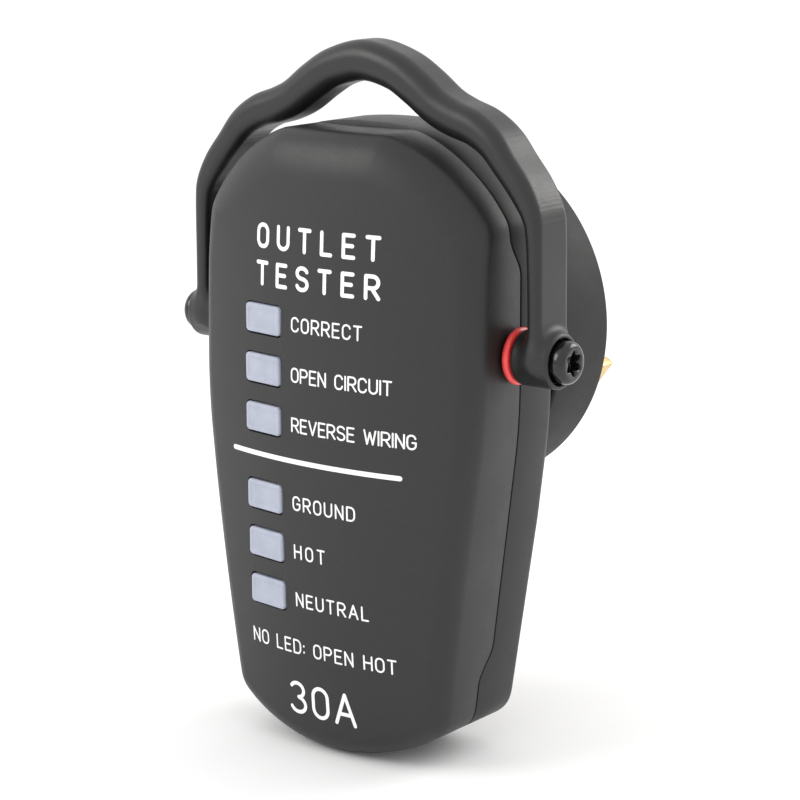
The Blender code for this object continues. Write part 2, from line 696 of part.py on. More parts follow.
def build_contacts(brass):
    for name, side in (("hot_blade", -1), ("neutral_blade", 1)):
        low = -PLATE_THICKNESS - TAIL_LENGTH
        make(name, blade_prism(bmesh.new(), side, 0.0, low, BLADE_LENGTH, 0.5), brass)
    low = -PLATE_THICKNESS - TAIL_LENGTH
    nose = 2.2
    profile = [(PIN_RADIUS, low), (PIN_RADIUS, PIN_LENGTH - nose)]
    for k in (1, 2, 3):
        angle = math.pi / 2 * k / 3.4
        profile.append((PIN_RADIUS * math.cos(angle), PIN_LENGTH - nose + nose * math.sin(angle)))
    make("ground_pin", solid_of_revolution(bmesh.new(), profile, 20, axis_matrix("+Y", z=PIN_Z)), brass)


def contact_places():
    return (("ground", 0.0, PIN_Z), ("hot", -BLADE_X, BLADE_Z), ("neutral", BLADE_X, BLADE_Z))


def build_terminals(mat):
    for name, x, z in contact_places():
        bm = box(bmesh.new(), (x - TERMINAL_HALF_X, x + TERMINAL_HALF_X), TERMINAL_Y,
                 (z - TERMINAL_HALF_Z, z + TERMINAL_HALF_Z))
        make("terminal_" + name, bm, mat)


def build_wires(colours):
    """A lead from each terminal, through the cable hole, to the back of the board."""
    middle = sum(TERMINAL_Y) / 2
    for name, x, z in contact_places():
        side = (x > 0) - (x < 0)
        if side:
            start = (x - side * (TERMINAL_HALF_X + 3 * GAP), middle, z)
            route = [start, (start[0] - side * 1.5, middle, z + 0.3),
                     (start[0] - side * 2.9, middle, z + 2.6), (side * 6.6, middle - 0.3, -7.4),
                     (side * 4.2, REAR_Y, -3.0), (side * 4.5, REAR_Y - 8.0, -4.0)]
            end = (side * 7.0, BOARD_Y[1] + GAP, -8.0)
        else:
            start = (x, middle, z - TERMINAL_HALF_Z - 3 * GAP)
            route = [start, (x, middle - 0.5, z - 4.1), (x, middle - 1.8, z - 5.2),
                     (0.0, REAR_Y + 0.6, 1.4),
                     (0.0, REAR_Y - 8.0, 1.5)]
            end = (0.0, BOARD_Y[1] + GAP, 2.0)
        route += [(end[0], end[1] + 4.0, end[2]), (end[0], end[1] + 1.5, end[2]), end]
        knots = [Vector(p) for p in [route[0]] + route + [route[-1]]]
        points = []
        for i in range(1, len(knots) - 2):
            points += [catmull_rom(*knots[i - 1:i + 3], k / 3) for k in range(3)]
        points.append(knots[-2])
        curve = bpy.data.curves.new("wire_" + name, 'CURVE')
        curve.dimensions = '3D'
        curve.bevel_depth = WIRE_RADIUS * MM
        curve.bevel_resolution = 2
        curve.use_fill_caps = True
        spline = curve.splines.new('POLY')
        spline.points.add(len(points) - 1)
        for slot, point in zip(spline.points, points):
            slot.co = (*(point * MM), 1.0)
        curve.materials.append(colours[name])
        bpy.context.collection.objects.link(bpy.data.objects.new("wire_" + name, curve))


# ---------------------------------------------------------------- inside

def build_plain_screw(name, x, z, head_y, head_radius, head_height, radius, length, mat):
    """A small screw driven forwards from the back: head at head_y, shank towards -Y."""
    profile = ((radius, head_y - length), (radius, head_y), (head_radius, head_y),
               (head_radius, head_y + head_height * 0.6), (head_radius * 0.72, head_y + head_height))
    bm = solid_of_revolution(bmesh.new(), profile, 12, axis_matrix("+Y", x, 0.0, z))
    make(name, bm, mat)


def build_screws(steel):
    for k, (x, z) in enumerate(CASE_POSTS, 1):
        build_plain_screw(f"case_screw_{k}", x, z, COUNTERBORE_Y + GAP, CASE_HEAD_RADIUS, 2.0,
                          CASE_SCREW_RADIUS, 17.0, steel)
    floor_top = REAR_Y + GAP + BARREL_FLOOR
    for k, (x, z) in enumerate(barrel_screw_places(), 1):
        build_plain_screw(f"barrel_screw_{k}", x, z, floor_top + GAP, 2.9, 2.0, 1.2, 8.0, steel)
    for k, (x, z) in enumerate(plug_screw_places(), 1):
        build_plain_screw(f"plug_screw_{k}", x, z, PLUG_COUNTERBORE_Y + GAP, CASE_HEAD_RADIUS,
                          1.9, 1.25, 9.0, steel)
    for k, (x, z) in enumerate(BOARD_POSTS, 1):
        build_plain_screw(f"board_screw_{k}", x, z, BOARD_Y[1] + GAP, 2.2, 1.4, 0.9, 7.0, steel)


def build_board(mat):
    bm = box(bmesh.new(), BOARD_X, BOARD_Y, BOARD_Z)
    board = make("circuit_board", bm, mat)
    bm = bmesh.new()
    for x, z in BOARD_POSTS:
        cylinder(bm, 1.2, BOARD_Y[0] - 1, BOARD_Y[1] + 1, "+Y", (x, 0, z), 12)
    combine(board, "circuit_board_holes", bm, 'DIFFERENCE')


def build_lamp_frame(mat):
    """A bar with one light-tight pocket behind each window."""
    frame = make("lamp_frame", box(bmesh.new(), FRAME_X, FRAME_Y, FRAME_Z), mat)
    bm = bmesh.new()
    for z in window_places():
        box(bm, (WINDOW_X - 4.2, WINDOW_X + 4.2), (FRAME_Y[0] - 1, FRAME_Y[1] + 1), (z - 3.2, z + 3.2))
    combine(frame, "lamp_frame_pockets", bm, 'DIFFERENCE')


def build_lamps(mat):
    for name, z in zip(LAMP_NAMES, window_places()):
        back = BOARD_Y[0] - GAP
        profile = ((LAMP_RADIUS, -back), (LAMP_RADIUS, -back + 2.4), (LAMP_RADIUS * 0.8, -back + 3.6),
                   (LAMP_RADIUS * 0.4, -back + 4.3))
        bm = solid_of_revolution(bmesh.new(), profile, 12, axis_matrix("-Y", WINDOW_X, 0.0, z))
        make("lamp_" + name, bm, mat)


def build_components(mats):
    back = BOARD_Y[1] + GAP
    for k, z in enumerate((-30.0, -38.0), 1):
        bm = cylinder(bmesh.new(), 1.4, 2.0, 11.0, "+X", (0, back + 1.4, z), 12)
        make(f"resistor_{k}", bm, mats["resistor"])
    make("capacitor", box(bmesh.new(), (-14.0, -5.0), (back, back + 7.0), (-38.0, -32.0)),
         mats["capacitor"])
    make("surge_disc", cylinder(bmesh.new(), 5.5, back, back + 3.5, "+Y", (-10.0, 0, -50.0), 20),
         mats["surge_disc"])


# ---------------------------------------------------------------- assembly

def build_all():
    clear_scene()
    black = material("case_black", (0.022, 0.022, 0.024), 0.55)
    handle_black = material("handle_black", (0.026, 0.026, 0.028), 0.42)
    plug_black = material("plug_black", (0.020, 0.020, 0.022), 0.6)
    red = material("ring_red", (0.62, 0.03, 0.05), 0.35)
    lens = material("lens_white", (0.55, 0.57, 0.68), 0.35)
    brass = material("brass", (0.62, 0.42, 0.16), 0.28, 1.0)
    screw_black = material("screw_black", (0.015, 0.015, 0.017), 0.2, 0.6)
    steel = material("screw_steel", (0.5, 0.5, 0.52), 0.35, 1.0)
    green = material("board_green", (0.03, 0.16, 0.07), 0.45)
    frame_white = material("frame_white", (0.75, 0.75, 0.75), 0.6)
    clear = material("lamp_clear", (0.8, 0.8, 0.82), 0.15)

    hinge = bpy.data.objects.new("handle_hinge", None)
    bpy.context.collection.objects.link(hinge)
    hinge.location = Vector((0.0, PIVOT_Y, PIVOT_Z)) * MM

    build_front_shell(black)
    build_rear_shell(black)
    build_barrel(plug_black)
    build_plate(plug_black)
    build_contacts(brass)
    for name, z in zip(LAMP_NAMES, window_places()):
        build_lens("lens_" + name, z, lens)
    build_handle(handle_black, hinge)
    for word, side in (("left", -1), ("right", 1)):
        build_handle_screw("handle_screw_" + word, side, screw_black)
        build_friction_ring("friction_ring_" + word, side, red)
        build_insert("pivot_insert_" + word, side, brass)
    build_screws(steel)
    build_board(green)
    build_lamp_frame(frame_white)
    build_lamps(clear)
    build_components({"resistor": material("resistor_blue", (0.15, 0.35, 0.5), 0.5),
                      "capacitor": material("capacitor_yellow", (0.7, 0.45, 0.05), 0.5),
                      "surge_disc": material("surge_disc_blue", (0.05, 0.1, 0.45), 0.4)})
    build_terminals(material("terminal_tin", (0.6, 0.6, 0.62), 0.35, 1.0))
    build_wires({"ground": material("wire_green", (0.03, 0.3, 0.08), 0.5),
                 "hot": material("wire_black", (0.02, 0.02, 0.02), 0.5),
                 "neutral": material("wire_white", (0.8, 0.8, 0.8), 0.5)})


build_all()
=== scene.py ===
"""Outlet tester plug: finished shapes, materials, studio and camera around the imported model.

Shapes are worked out in millimetres in the frame of the model: the origin is the centre of the
plug face, +Y points into the outlet, -Y is the front of the case and +Z is up.
"""

import math

import bmesh
import bpy
import numpy as np
from mathutils import Matrix, Vector


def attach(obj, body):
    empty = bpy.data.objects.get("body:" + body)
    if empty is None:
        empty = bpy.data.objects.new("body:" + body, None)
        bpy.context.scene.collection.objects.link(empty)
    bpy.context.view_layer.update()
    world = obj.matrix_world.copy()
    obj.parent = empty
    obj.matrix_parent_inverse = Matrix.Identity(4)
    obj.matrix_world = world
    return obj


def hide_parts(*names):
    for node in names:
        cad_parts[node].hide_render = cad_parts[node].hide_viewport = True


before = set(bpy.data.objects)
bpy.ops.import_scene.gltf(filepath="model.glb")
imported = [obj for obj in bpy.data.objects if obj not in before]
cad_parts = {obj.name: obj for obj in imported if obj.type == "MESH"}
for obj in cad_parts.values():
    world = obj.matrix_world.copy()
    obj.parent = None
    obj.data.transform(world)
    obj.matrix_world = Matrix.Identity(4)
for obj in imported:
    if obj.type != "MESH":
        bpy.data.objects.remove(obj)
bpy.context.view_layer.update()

MM = 0.001
GAP = 0.3

# Case outline, seen from the front
HEAD_RADIUS = 41.7
HEAD_CENTRE_Z = 1.3
TOP_Z = 41.0
TOP_FLAT = math.sqrt(HEAD_RADIUS ** 2 - (TOP_Z - HEAD_CENTRE_Z) ** 2)
HALF_WIDTH = 34.6
TAPER_START_Z = -13.7
TAPER_SLOPE = 0.122
BOTTOM_Z = -84.1
BOTTOM_RADIUS = 47.0
CORNER_X = 26.3
TOP_CORNER_RADIUS = 5.0
SIDE_CORNER_RADIUS = 6.0
BOTTOM_CORNER_RADIUS = 6.0
SHOULDER_RADIUS = 120.0
REAR_TOP_RISE = 0.9
OUTLINE_POINTS = 420

# Case in depth
FACE_Y = -50.0
FACE_CENTRE_Z = -20.7
CROWN_ACROSS = 0.0052
CROWN_ALONG = 0.0007
SEAM_Y = -29.0
SEAM_END_Y = -32.5
SEAM_STEP_TOP_Z = 18.4
SEAM_STEP_BOTTOM_Z = -64.0
SEAM_STEP_LENGTH = (8.0, 8.0)
SEAM_ROUND = 0.25
REAR_Y = -16.8
REAR_TAIL_RISE = 2.2
REAR_TAIL_START_Z = -36.0
REAR_EDGE_RADIUS = 2.6
WALL = 2.2
SIDE_EDGE = 4.2
TOP_EDGE = 9.0
TOP_EDGE_DEPTH = 5.2
LIP_HEIGHT = 1.5
LIP_THICKNESS = 1.2

# Lamp windows
WINDOW_X = -13.47
WINDOW_WIDTH = 9.95
WINDOW_HEIGHT = 5.86
WINDOW_CORNER = 0.9
WINDOW_PITCH = 10.0
FIRST_WINDOW_Z = 3.6
SECOND_GROUP_Z = -32.3
LAMP_NAMES = ("correct", "open_circuit", "reverse_wiring", "ground", "hot", "neutral")
LENS_DEPTH = 3.5
FLANGE_DEPTH = 0.9
FLANGE_BORDER = 0.9

# Handle and its pivot
PIVOT_Y = -30.7
PIVOT_Z = -0.7
HANDLE_CORNER = 0.44
BOSS_RADIUS = 5.4
BOSS_INNER_X = 36.9
BOSS_OUTER_X = 45.6
HEAD_RECESS_DEPTH = 1.2
HEAD_RECESS_RADIUS = 4.5
PIVOT_BORE_RADIUS = 2.3
SCREW_HEAD_RADIUS = 4.2
SCREW_HEAD_HEIGHT = 3.6
SCREW_RADIUS = 1.9
SCREW_TIP_X = 27.5
RING_RADIUS = 5.6
RING_BORE_RADIUS = 2.5
RING_X = (35.1, 36.6)
HANDLE_STATIONS = (
    (0.0, 54.5, 8.0, 11.0),
    (7.4, 52.9, 7.7, 11.0),
    (12.7, 50.0, 7.6, 11.0),
    (17.6, 46.6, 7.3, 11.0),
    (21.8, 44.7, 7.15, 11.0),
    (26.8, 43.1, 6.8, 11.0),
    (31.0, 40.5, 6.2, 11.0),
    (34.6, 36.5, 5.5, 11.0),
    (38.2, 32.2, 5.3, 10.9),
    (40.8, 27.8, 4.4, 10.7),
    (41.6, 23.5, 3.6, 10.5),
    (41.9, 12.0, 3.2, 10.3),
    (42.0, 0.0, 3.2, 10.3),
)

# Plug
BARREL_RADIUS = 35.7
BARREL_WALL = 3.0
BARREL_FLOOR = 2.7
PLATE_THICKNESS = 6.0
BLADE_WIDTH = 12.0
BLADE_THICKNESS = 2.3
BLADE_LENGTH = 28.8
BLADE_X = 14.0
BLADE_Z = -18.2
BLADE_TILT = math.radians(52)
BLADE_TIP = 1.4
BLADE_TIP_TRIM = 0.75
TAIL_LENGTH = 4.0
PIN_RADIUS = 3.2
PIN_LENGTH = 29.0
PIN_NOSE = 2.6
PIN_Z = 7.6
CABLE_HOLE_RADIUS = 10.0
PLUG_SCREW_CIRCLE = 27.0
PLUG_COUNTERBORE_Y = -2.6

# Fastenings
CASE_POSTS = ((22.0, 26.0), (-22.0, 26.0), (17.0, -71.0), (-17.0, -71.0))
PILOT_RADIUS = 1.6
CASE_HEAD_RADIUS = 2.75
COUNTERBORE_RADIUS = 3.1
COUNTERBORE_Y = -22.0
POST_RADIUS = 4.2
INSERT_POCKET_RADIUS = 4.4
INSERT_POCKET_X = 25.0

# Printing on the face
INK = 0.05                      # height above the face
LEGEND_X = -5.55
LEGEND_CAP = 3.0
LEGEND_STROKE = 0.36
TITLE_CAP = 5.0
TITLE_STROKE = 0.8
TITLE_REACH = 15.5              # half the width of each title line
RULE_START_X = -22.6
RULE_LENGTH = 42.6
RULE_Z = -23.8
RULE_STROKE = 1.0


# ---------------------------------------------------------------- mesh helpers

def piece(name, bm, body, material, replaced=(), sharp=35.0):
    """Turn a mesh in millimetres into a piece that rides on a body."""
    bmesh.ops.recalc_face_normals(bm, faces=bm.faces)
    bmesh.ops.scale(bm, verts=bm.verts, vec=(MM, MM, MM))
    mesh = bpy.data.meshes.new(name)
    bm.to_mesh(mesh)
    bm.free()
    mesh.shade_smooth()
    mesh.set_sharp_from_angle(angle=math.radians(sharp))
    obj = bpy.data.objects.new(name, mesh)
    bpy.context.collection.objects.link(obj)
    mesh.materials.append(material)
    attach(obj, body)
    if replaced:
        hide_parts(*replaced)
    return obj


def helper_object(bm):
    """A temporary object in millimetres, removed again once it has been used."""
    bmesh.ops.recalc_face_normals(bm, faces=bm.faces)
    mesh = bpy.data.meshes.new("helper")
    bm.to_mesh(mesh)
    bm.free()
    obj = bpy.data.objects.new("helper", mesh)
    bpy.context.collection.objects.link(obj)
    return obj


def boolean(bm, cutter, operation):
    """The Boolean of two meshes in millimetres, as a new mesh."""
    base = helper_object(bm)
    other = helper_object(cutter)
    modifier = base.modifiers.new("cut", 'BOOLEAN')
    modifier.operation = operation
    modifier.solver = 'EXACT'
    modifier.object = other
    bpy.context.view_layer.update()
    graph = bpy.context.evaluated_depsgraph_get()
    result = bmesh.new()
    result.from_mesh(base.evaluated_get(graph).to_mesh())
    for obj in (base, other):
        mesh = obj.data
        bpy.data.objects.remove(obj, do_unlink=True)
        bpy.data.meshes.remove(mesh)
    return result


def loft(bm, rings, start=None, end=None):
    """Skin closed rings of equal length; each end is a pole point or a flat face."""
    loops = [[bm.verts.new(point) for point in ring] for ring in rings]
    count = len(loops[0])
    for here, there in zip(loops, loops[1:]):
        for i in range(count):
            j = (i + 1) % count
            bm.faces.new((here[i], here[j], there[j], there[i]))
    for pole, loop in ((start, loops[0]), (end, loops[-1])):
        if pole is None:
            bm.faces.new(loop)
            continue
        tip = bm.verts.new(pole)
        for i in range(count):
            bm.faces.new((tip, loop[i], loop[(i + 1) % count]))
    return bm


def turned(bm, profile, segments, matrix):
    """Revolve a closed profile of (radius, distance along the axis) about the matrix's Z axis."""
    rings = []
    for k in range(segments):
        angle = math.tau * k / segments
        rings.append([bm.verts.new(matrix @ Vector((r * math.cos(angle), r * math.sin(angle), h)))
                      for r, h in profile])
    count = len(profile)
    for k in range(segments):
        here = rings[k]
        there = rings[(k + 1) % segments]
        for i in range(count):
            j = (i + 1) % count
            bm.faces.new((here[i], here[j], there[j], there[i]))
    return bm


def solid_of_revolution(bm, profile, segments, matrix):
    """Revolve an open profile of (radius, height) that is closed by a flat face at each end."""
    rings = [[matrix @ Vector((r * math.cos(math.tau * k / segments),
                               r * math.sin(math.tau * k / segments), h))
              for k in range(segments)] for r, h in profile]
    return loft(bm, rings)


def soften(profile, radii, steps):
    """Round the corners of a closed 2-D profile; radii gives one radius for each corner."""
    out = []
    for i, corner in enumerate(profile):
        after = profile[(i + 1) % len(profile)]
        out += [tuple(p) for p in fillet(corner, profile[i - 1], after, radii[i], steps)]
    return out


def axis_matrix(direction, x=0.0, y=0.0, z=0.0):
    """A frame at (x, y, z) whose local Z points along +X, -X or +Y."""
    turn = {"+X": Matrix.Rotation(math.pi / 2, 4, 'Y'),
            "-X": Matrix.Rotation(-math.pi / 2, 4, 'Y'),
            "+Y": Matrix.Rotation(-math.pi / 2, 4, 'X')}[direction]
    return Matrix.Translation((x, y, z)) @ turn


def pivot_axis(side):
    """A frame on the handle's pivot whose local Z points out through the left or right side."""
    return axis_matrix("+X" if side > 0 else "-X", 0.0, PIVOT_Y, PIVOT_Z)


def quarter_arc(steps):
    """Sine and cosine at even steps through a quarter turn, leaving out its start."""
    angles = [math.pi / 2 * k / steps for k in range(1, steps + 1)]
    return [(math.sin(angle), math.cos(angle)) for angle in angles]


def rounded_rectangle(width, height, radius, steps=8):
    """Corner-rounded rectangle about the origin, as (across, up) pairs."""
    points = []
    for corner, (sx, sz) in enumerate(((1, 1), (-1, 1), (-1, -1), (1, -1))):
        for k in range(steps + 1):
            angle = math.pi / 2 * (corner + k / steps)
            points.append((sx * (width / 2 - radius) + radius * math.cos(angle),
                           sz * (height / 2 - radius) + radius * math.sin(angle)))
    return points


def smooth_step(low, high, value):
    share = min(max((value - low) / (high - low), 0.0), 1.0)
    return share * share * (3 - 2 * share)


def fillet(corner, before, after, radius, steps=12):
    """Points of an arc of `radius` that rounds the corner between two neighbours."""
    corner = Vector(corner)
    to_before = (Vector(before) - corner).normalized()
    to_after = (Vector(after) - corner).normalized()
    half = to_before.angle(to_after) / 2
    reach = radius / math.tan(half)
    centre = corner + (to_before + to_after).normalized() * radius / math.sin(half)
    start = (corner + to_before * reach - centre).normalized()
    end = (corner + to_after * reach - centre).normalized()
    return [centre + start.slerp(end, k / steps) * radius for k in range(steps + 1)]


# ---------------------------------------------------------------- case shape

def half_outline():
    """Right half of the case outline from the top centre to the bottom centre."""
    def head(x):
        return HEAD_CENTRE_Z + math.sqrt(HEAD_RADIUS ** 2 - x ** 2)

    def bottom(x):
        return BOTTOM_Z + BOTTOM_RADIUS - math.sqrt(BOTTOM_RADIUS ** 2 - x ** 2)

    arc_xs = [TOP_FLAT + (HALF_WIDTH - TOP_FLAT) * k / 48 for k in range(49)]
    arc = [(x, head(x)) for x in arc_xs]
    foot = (CORNER_X, bottom(CORNER_X))
    shoulder = (HALF_WIDTH, TAPER_START_Z)
    low_side = (HALF_WIDTH - TAPER_SLOPE * (TAPER_START_Z + 60.0), -60.0)
    top = [(TOP_FLAT * k / 4, TOP_Z) for k in range(3)]
    points = [Vector(p) for p in top]
    points += fillet(arc[0], top[-1], arc[8], TOP_CORNER_RADIUS)
    points += [Vector(p) for p in arc[5:-8]]
    points += fillet(arc[-1], arc[-12], (HALF_WIDTH, 0.0), SIDE_CORNER_RADIUS)
    points += fillet(shoulder, (HALF_WIDTH, 0.0), low_side, SHOULDER_RADIUS, 24)
    points += fillet(foot, low_side, (CORNER_X - 5, bottom(CORNER_X - 5)), BOTTOM_CORNER_RADIUS)
    points += [Vector((21.0 - 1.5 * k, bottom(21.0 - 1.5 * k))) for k in range(15)]
    return points


def outline(count=OUTLINE_POINTS, rise=0.0):
    """The whole case outline as evenly spaced (x, z) points, clockwise from the top centre."""
    right = half_outline()
    left = [Vector((-p.x, p.y)) for p in reversed(right[1:-1])]
    path = right + left + [right[0]]
    lengths = [0.0]
    for a, b in zip(path, path[1:]):
        lengths.append(lengths[-1] + (b - a).length)
    points = []
    k = 0
    for i in range(count):
        target = lengths[-1] * i / count
        while lengths[k + 1] < target:
            k += 1
        share = (target - lengths[k]) / (lengths[k + 1] - lengths[k])
        points.append(path[k].lerp(path[k + 1], share))
    for _ in range(2):
        points = [(points[i - 1] + points[i] * 2 + points[(i + 1) % count]) / 4
                  for i in range(count)]
    if rise:
        for point in points:
            if point.y > TOP_Z - 0.1:
                point.y += rise * max(1 - (point.x / TOP_FLAT) ** 2, 0.0)
    return points


def inset(points, distances):
    """Move each outline point inwards by its own distance."""
    count = len(points)
    moved = []
    for i, point in enumerate(points):
        along = points[(i + 1) % count] - points[i - 1]
        inward = Vector((along.y, -along.x)).normalized()
        moved.append(point + inward * distances[i])
    return moved


def face_y(x, z):
    """Depth of the crowned front face."""
    return FACE_Y + CROWN_ACROSS * x * x + CROWN_ALONG * (z - FACE_CENTRE_Z) ** 2


def seam_y(z):
    """Depth of the parting line, which steps forward at the head and at the foot."""
    head, foot = (length / 2 for length in SEAM_STEP_LENGTH)
    ends = (smooth_step(SEAM_STEP_TOP_Z - head, SEAM_STEP_TOP_Z + head, z)
            + smooth_step(-SEAM_STEP_BOTTOM_Z - foot, -SEAM_STEP_BOTTOM_Z + foot, -z))
    return SEAM_Y + (SEAM_END_Y - SEAM_Y) * ends


def rear_y(z):
    """Depth of the back, whose tail leans forward below the plug."""
    drop = max(REAR_TAIL_START_Z - z, 0.0) / (REAR_TAIL_START_Z - BOTTOM_Z)
    return REAR_Y - REAR_TAIL_RISE * drop


def edge_size(z):
    """Width and depth of the soft front edge, wide round the head and tight elsewhere."""
    share = smooth_step(12.0, 36.0, z)
    return (SIDE_EDGE + (TOP_EDGE - SIDE_EDGE) * share,
            SIDE_EDGE + (TOP_EDGE_DEPTH - SIDE_EDGE) * share)


def shrunk_ring(ring, share, depth):
    """A ring scaled towards the middle of the face, at the depth that the function gives."""
    shrunk = []
    for p in ring:
        x = p.x * share
        z = FACE_CENTRE_Z + (p.z - FACE_CENTRE_Z) * share
        shrunk.append(Vector((x, depth(x, z), z)))
    return shrunk


def depth_ring(points, distance, depth):
    """A ring at `distance` inside the outline, at the depth that the function gives."""
    return [Vector((p.x, depth(p.y), p.y)) for p in inset(points, [distance] * len(points))]


def face_rings(points, wall, edge_steps, face_steps):
    """Rings of the front surface from near the middle out to the side, `wall` inside it."""
    sizes = [edge_size(p.y) for p in points]
    rings = []
    for k in range(edge_steps + 1):
        t = (1 - k / edge_steps) ** 1.6
        spread = inset(points, [wall + (width - wall) * t for width, _ in sizes])
        fall = 1 - math.sqrt(1 - (1 - t) ** 2)
        rings.append([Vector((p.x, face_y(p.x, p.y) + wall + (depth - wall) * fall, p.y))
                      for p, (_, depth) in zip(spread, sizes)])
    edge = rings[0]
    for k in range(face_steps - 1, 0, -1):
        rings.insert(0, shrunk_ring(edge, k / face_steps, lambda x, z: face_y(x, z) + wall))
    return rings


def window_places():
    """Centre height of each lamp window, from the top down."""
    return [FIRST_WINDOW_Z - WINDOW_PITCH * k for k in range(3)] + \
           [SECOND_GROUP_Z - WINDOW_PITCH * k for k in range(3)]


def window_frame(z):
    """A matrix at a window's centre on the face: local X across, Y inwards, Z up."""
    turn = Matrix.Rotation(math.atan(2 * CROWN_ACROSS * WINDOW_X), 4, 'Z')
    return Matrix.Translation((WINDOW_X, face_y(WINDOW_X, z), z)) @ turn


def window_rings(z, stations):
    """Rounded rectangles at a window, one for each (border, depth)."""
    place = window_frame(z)
    rings = []
    for border, depth in stations:
        shape = rounded_rectangle(WINDOW_WIDTH + 2 * border, WINDOW_HEIGHT + 2 * border,
                                  max(WINDOW_CORNER + border, 0.12), 6)
        rings.append([place @ Vector((x, depth, up)) for x, up in shape])
    return rings


def build_front_shell(material):
    """The front half of the case, with soft-edged windows and its seam edge rounded."""
    points = outline()
    rings = face_rings(points, 0.0, 14, 9)
    rings.append(depth_ring(points, 0.0, lambda z: seam_y(z) - SEAM_ROUND))
    rings.append(depth_ring(points, 0.3 * SEAM_ROUND, lambda z: seam_y(z) - 0.3 * SEAM_ROUND))
    rings.append(depth_ring(points, SEAM_ROUND, seam_y))
    rings.append(depth_ring(points, WALL, seam_y))
    rings += reversed(face_rings(points, WALL, 6, 4))
    bm = loft(bmesh.new(), rings, start=(0.0, FACE_Y, FACE_CENTRE_Z),
              end=(0.0, FACE_Y + WALL, FACE_CENTRE_Z))
    cutter = bmesh.new()
    soft = 0.22
    stations = [(GAP + 2 * soft, -2.0), (GAP + soft, -0.02)]
    stations += [(GAP + soft * (1 - sin), soft * (1 - cos)) for sin, cos in quarter_arc(4)]
    stations.append((GAP, WALL + 1.0))
    for z in window_places():
        loft(cutter, window_rings(z, stations))
    for side in (-1, 1):
        matrix = pivot_axis(side)
        solid_of_revolution(cutter, ((PIVOT_BORE_RADIUS, HALF_WIDTH - 5.0),
                                     (PIVOT_BORE_RADIUS, HALF_WIDTH + 1.0)), 48, matrix)
    bm = boolean(bm, cutter, 'DIFFERENCE')
    return piece("shell_front", bm, "case", material, ("front_shell",), 30.0)


def rear_rings():
    """Rings of the rear half, from the middle of its back round to the inside of its floor."""
    points = outline(rise=REAR_TOP_RISE)
    plain = outline()
    lip = WALL + GAP
    steps = 8
    rings = [shrunk_ring(depth_ring(points, 0.0, rear_y), share, lambda x, z: rear_y(z))
             for share in (0.25, 0.5, 0.75)]
    for k in range(steps + 1):
        angle = math.pi / 2 * k / steps
        distance = REAR_EDGE_RADIUS * (1 - math.sin(angle))
        drop = REAR_EDGE_RADIUS * (1 - math.cos(angle))
        rings.append(depth_ring(points, distance, lambda z, drop=drop: rear_y(z) - drop))
    edge = SEAM_ROUND
    rings.append(depth_ring(points, 0.0, lambda z: seam_y(z) + GAP + edge))
    rings.append(depth_ring(points, 0.3 * edge, lambda z: seam_y(z) + GAP + 0.3 * edge))
    rings.append(depth_ring(points, edge, lambda z: seam_y(z) + GAP))
    rings.append(depth_ring(plain, lip, lambda z: seam_y(z) + GAP))
    rings.append(depth_ring(plain, lip, lambda z: seam_y(z) - LIP_HEIGHT))
    rings.append(depth_ring(plain, lip + LIP_THICKNESS, lambda z: seam_y(z) - LIP_HEIGHT))
    rings.append(depth_ring(plain, lip + LIP_THICKNESS, lambda z: rear_y(z) - WALL))
    rings.append(shrunk_ring(rings[-1], 0.5, lambda x, z: rear_y(z) - WALL))
    return rings


def rear_cutter():
    """Everything cut from the rear half: screw wells, the cable hole and the insert pockets."""
    cutter = bmesh.new()
    for x, z in CASE_POSTS:
        top = rear_y(z)
        soft = 0.35
        profile = [(PILOT_RADIUS, SEAM_END_Y - 1), (PILOT_RADIUS, COUNTERBORE_Y),
                   (COUNTERBORE_RADIUS, COUNTERBORE_Y), (COUNTERBORE_RADIUS, top - soft)]
        profile += [(COUNTERBORE_RADIUS + soft * (1 - cos), top - soft * (1 - sin))
                    for sin, cos in quarter_arc(4)]
        profile.append((COUNTERBORE_RADIUS + soft * 1.3, top + 3.0))
        solid_of_revolution(cutter, profile, 48, axis_matrix("+Y", x, 0.0, z))
    solid_of_revolution(cutter, ((CABLE_HOLE_RADIUS, REAR_Y - WALL - 1),
                                 (CABLE_HOLE_RADIUS, REAR_Y + 1)), 64, axis_matrix("+Y"))
    for side in (-1, 1):
        matrix = pivot_axis(side)
        solid_of_revolution(cutter, ((INSERT_POCKET_RADIUS, INSERT_POCKET_X),
                                     (INSERT_POCKET_RADIUS, HALF_WIDTH - WALL - GAP / 2),
                                     (PIVOT_BORE_RADIUS, HALF_WIDTH - WALL - GAP / 2),
                                     (PIVOT_BORE_RADIUS, HALF_WIDTH + 1.0)), 48, matrix)
    return cutter


def build_rear_shell(material):
    """The rear half of the case, with a lip inside the seam and screw wells in its tail."""
    bm = loft(bmesh.new(), rear_rings(), start=(0.0, REAR_Y, FACE_CENTRE_Z),
              end=(0.0, REAR_Y - WALL, FACE_CENTRE_Z))
    posts = bmesh.new()
    for x, z in CASE_POSTS:
        solid_of_revolution(posts, ((POST_RADIUS, SEAM_END_Y + GAP),
                                    (POST_RADIUS, rear_y(z) - WALL / 2)), 48,
                            axis_matrix("+Y", x, 0.0, z))
    bm = boolean(bm, posts, 'UNION')
    bm = boolean(bm, rear_cutter(), 'DIFFERENCE')
    return piece("shell_rear", bm, "case", material, ("rear_shell",), 30.0)


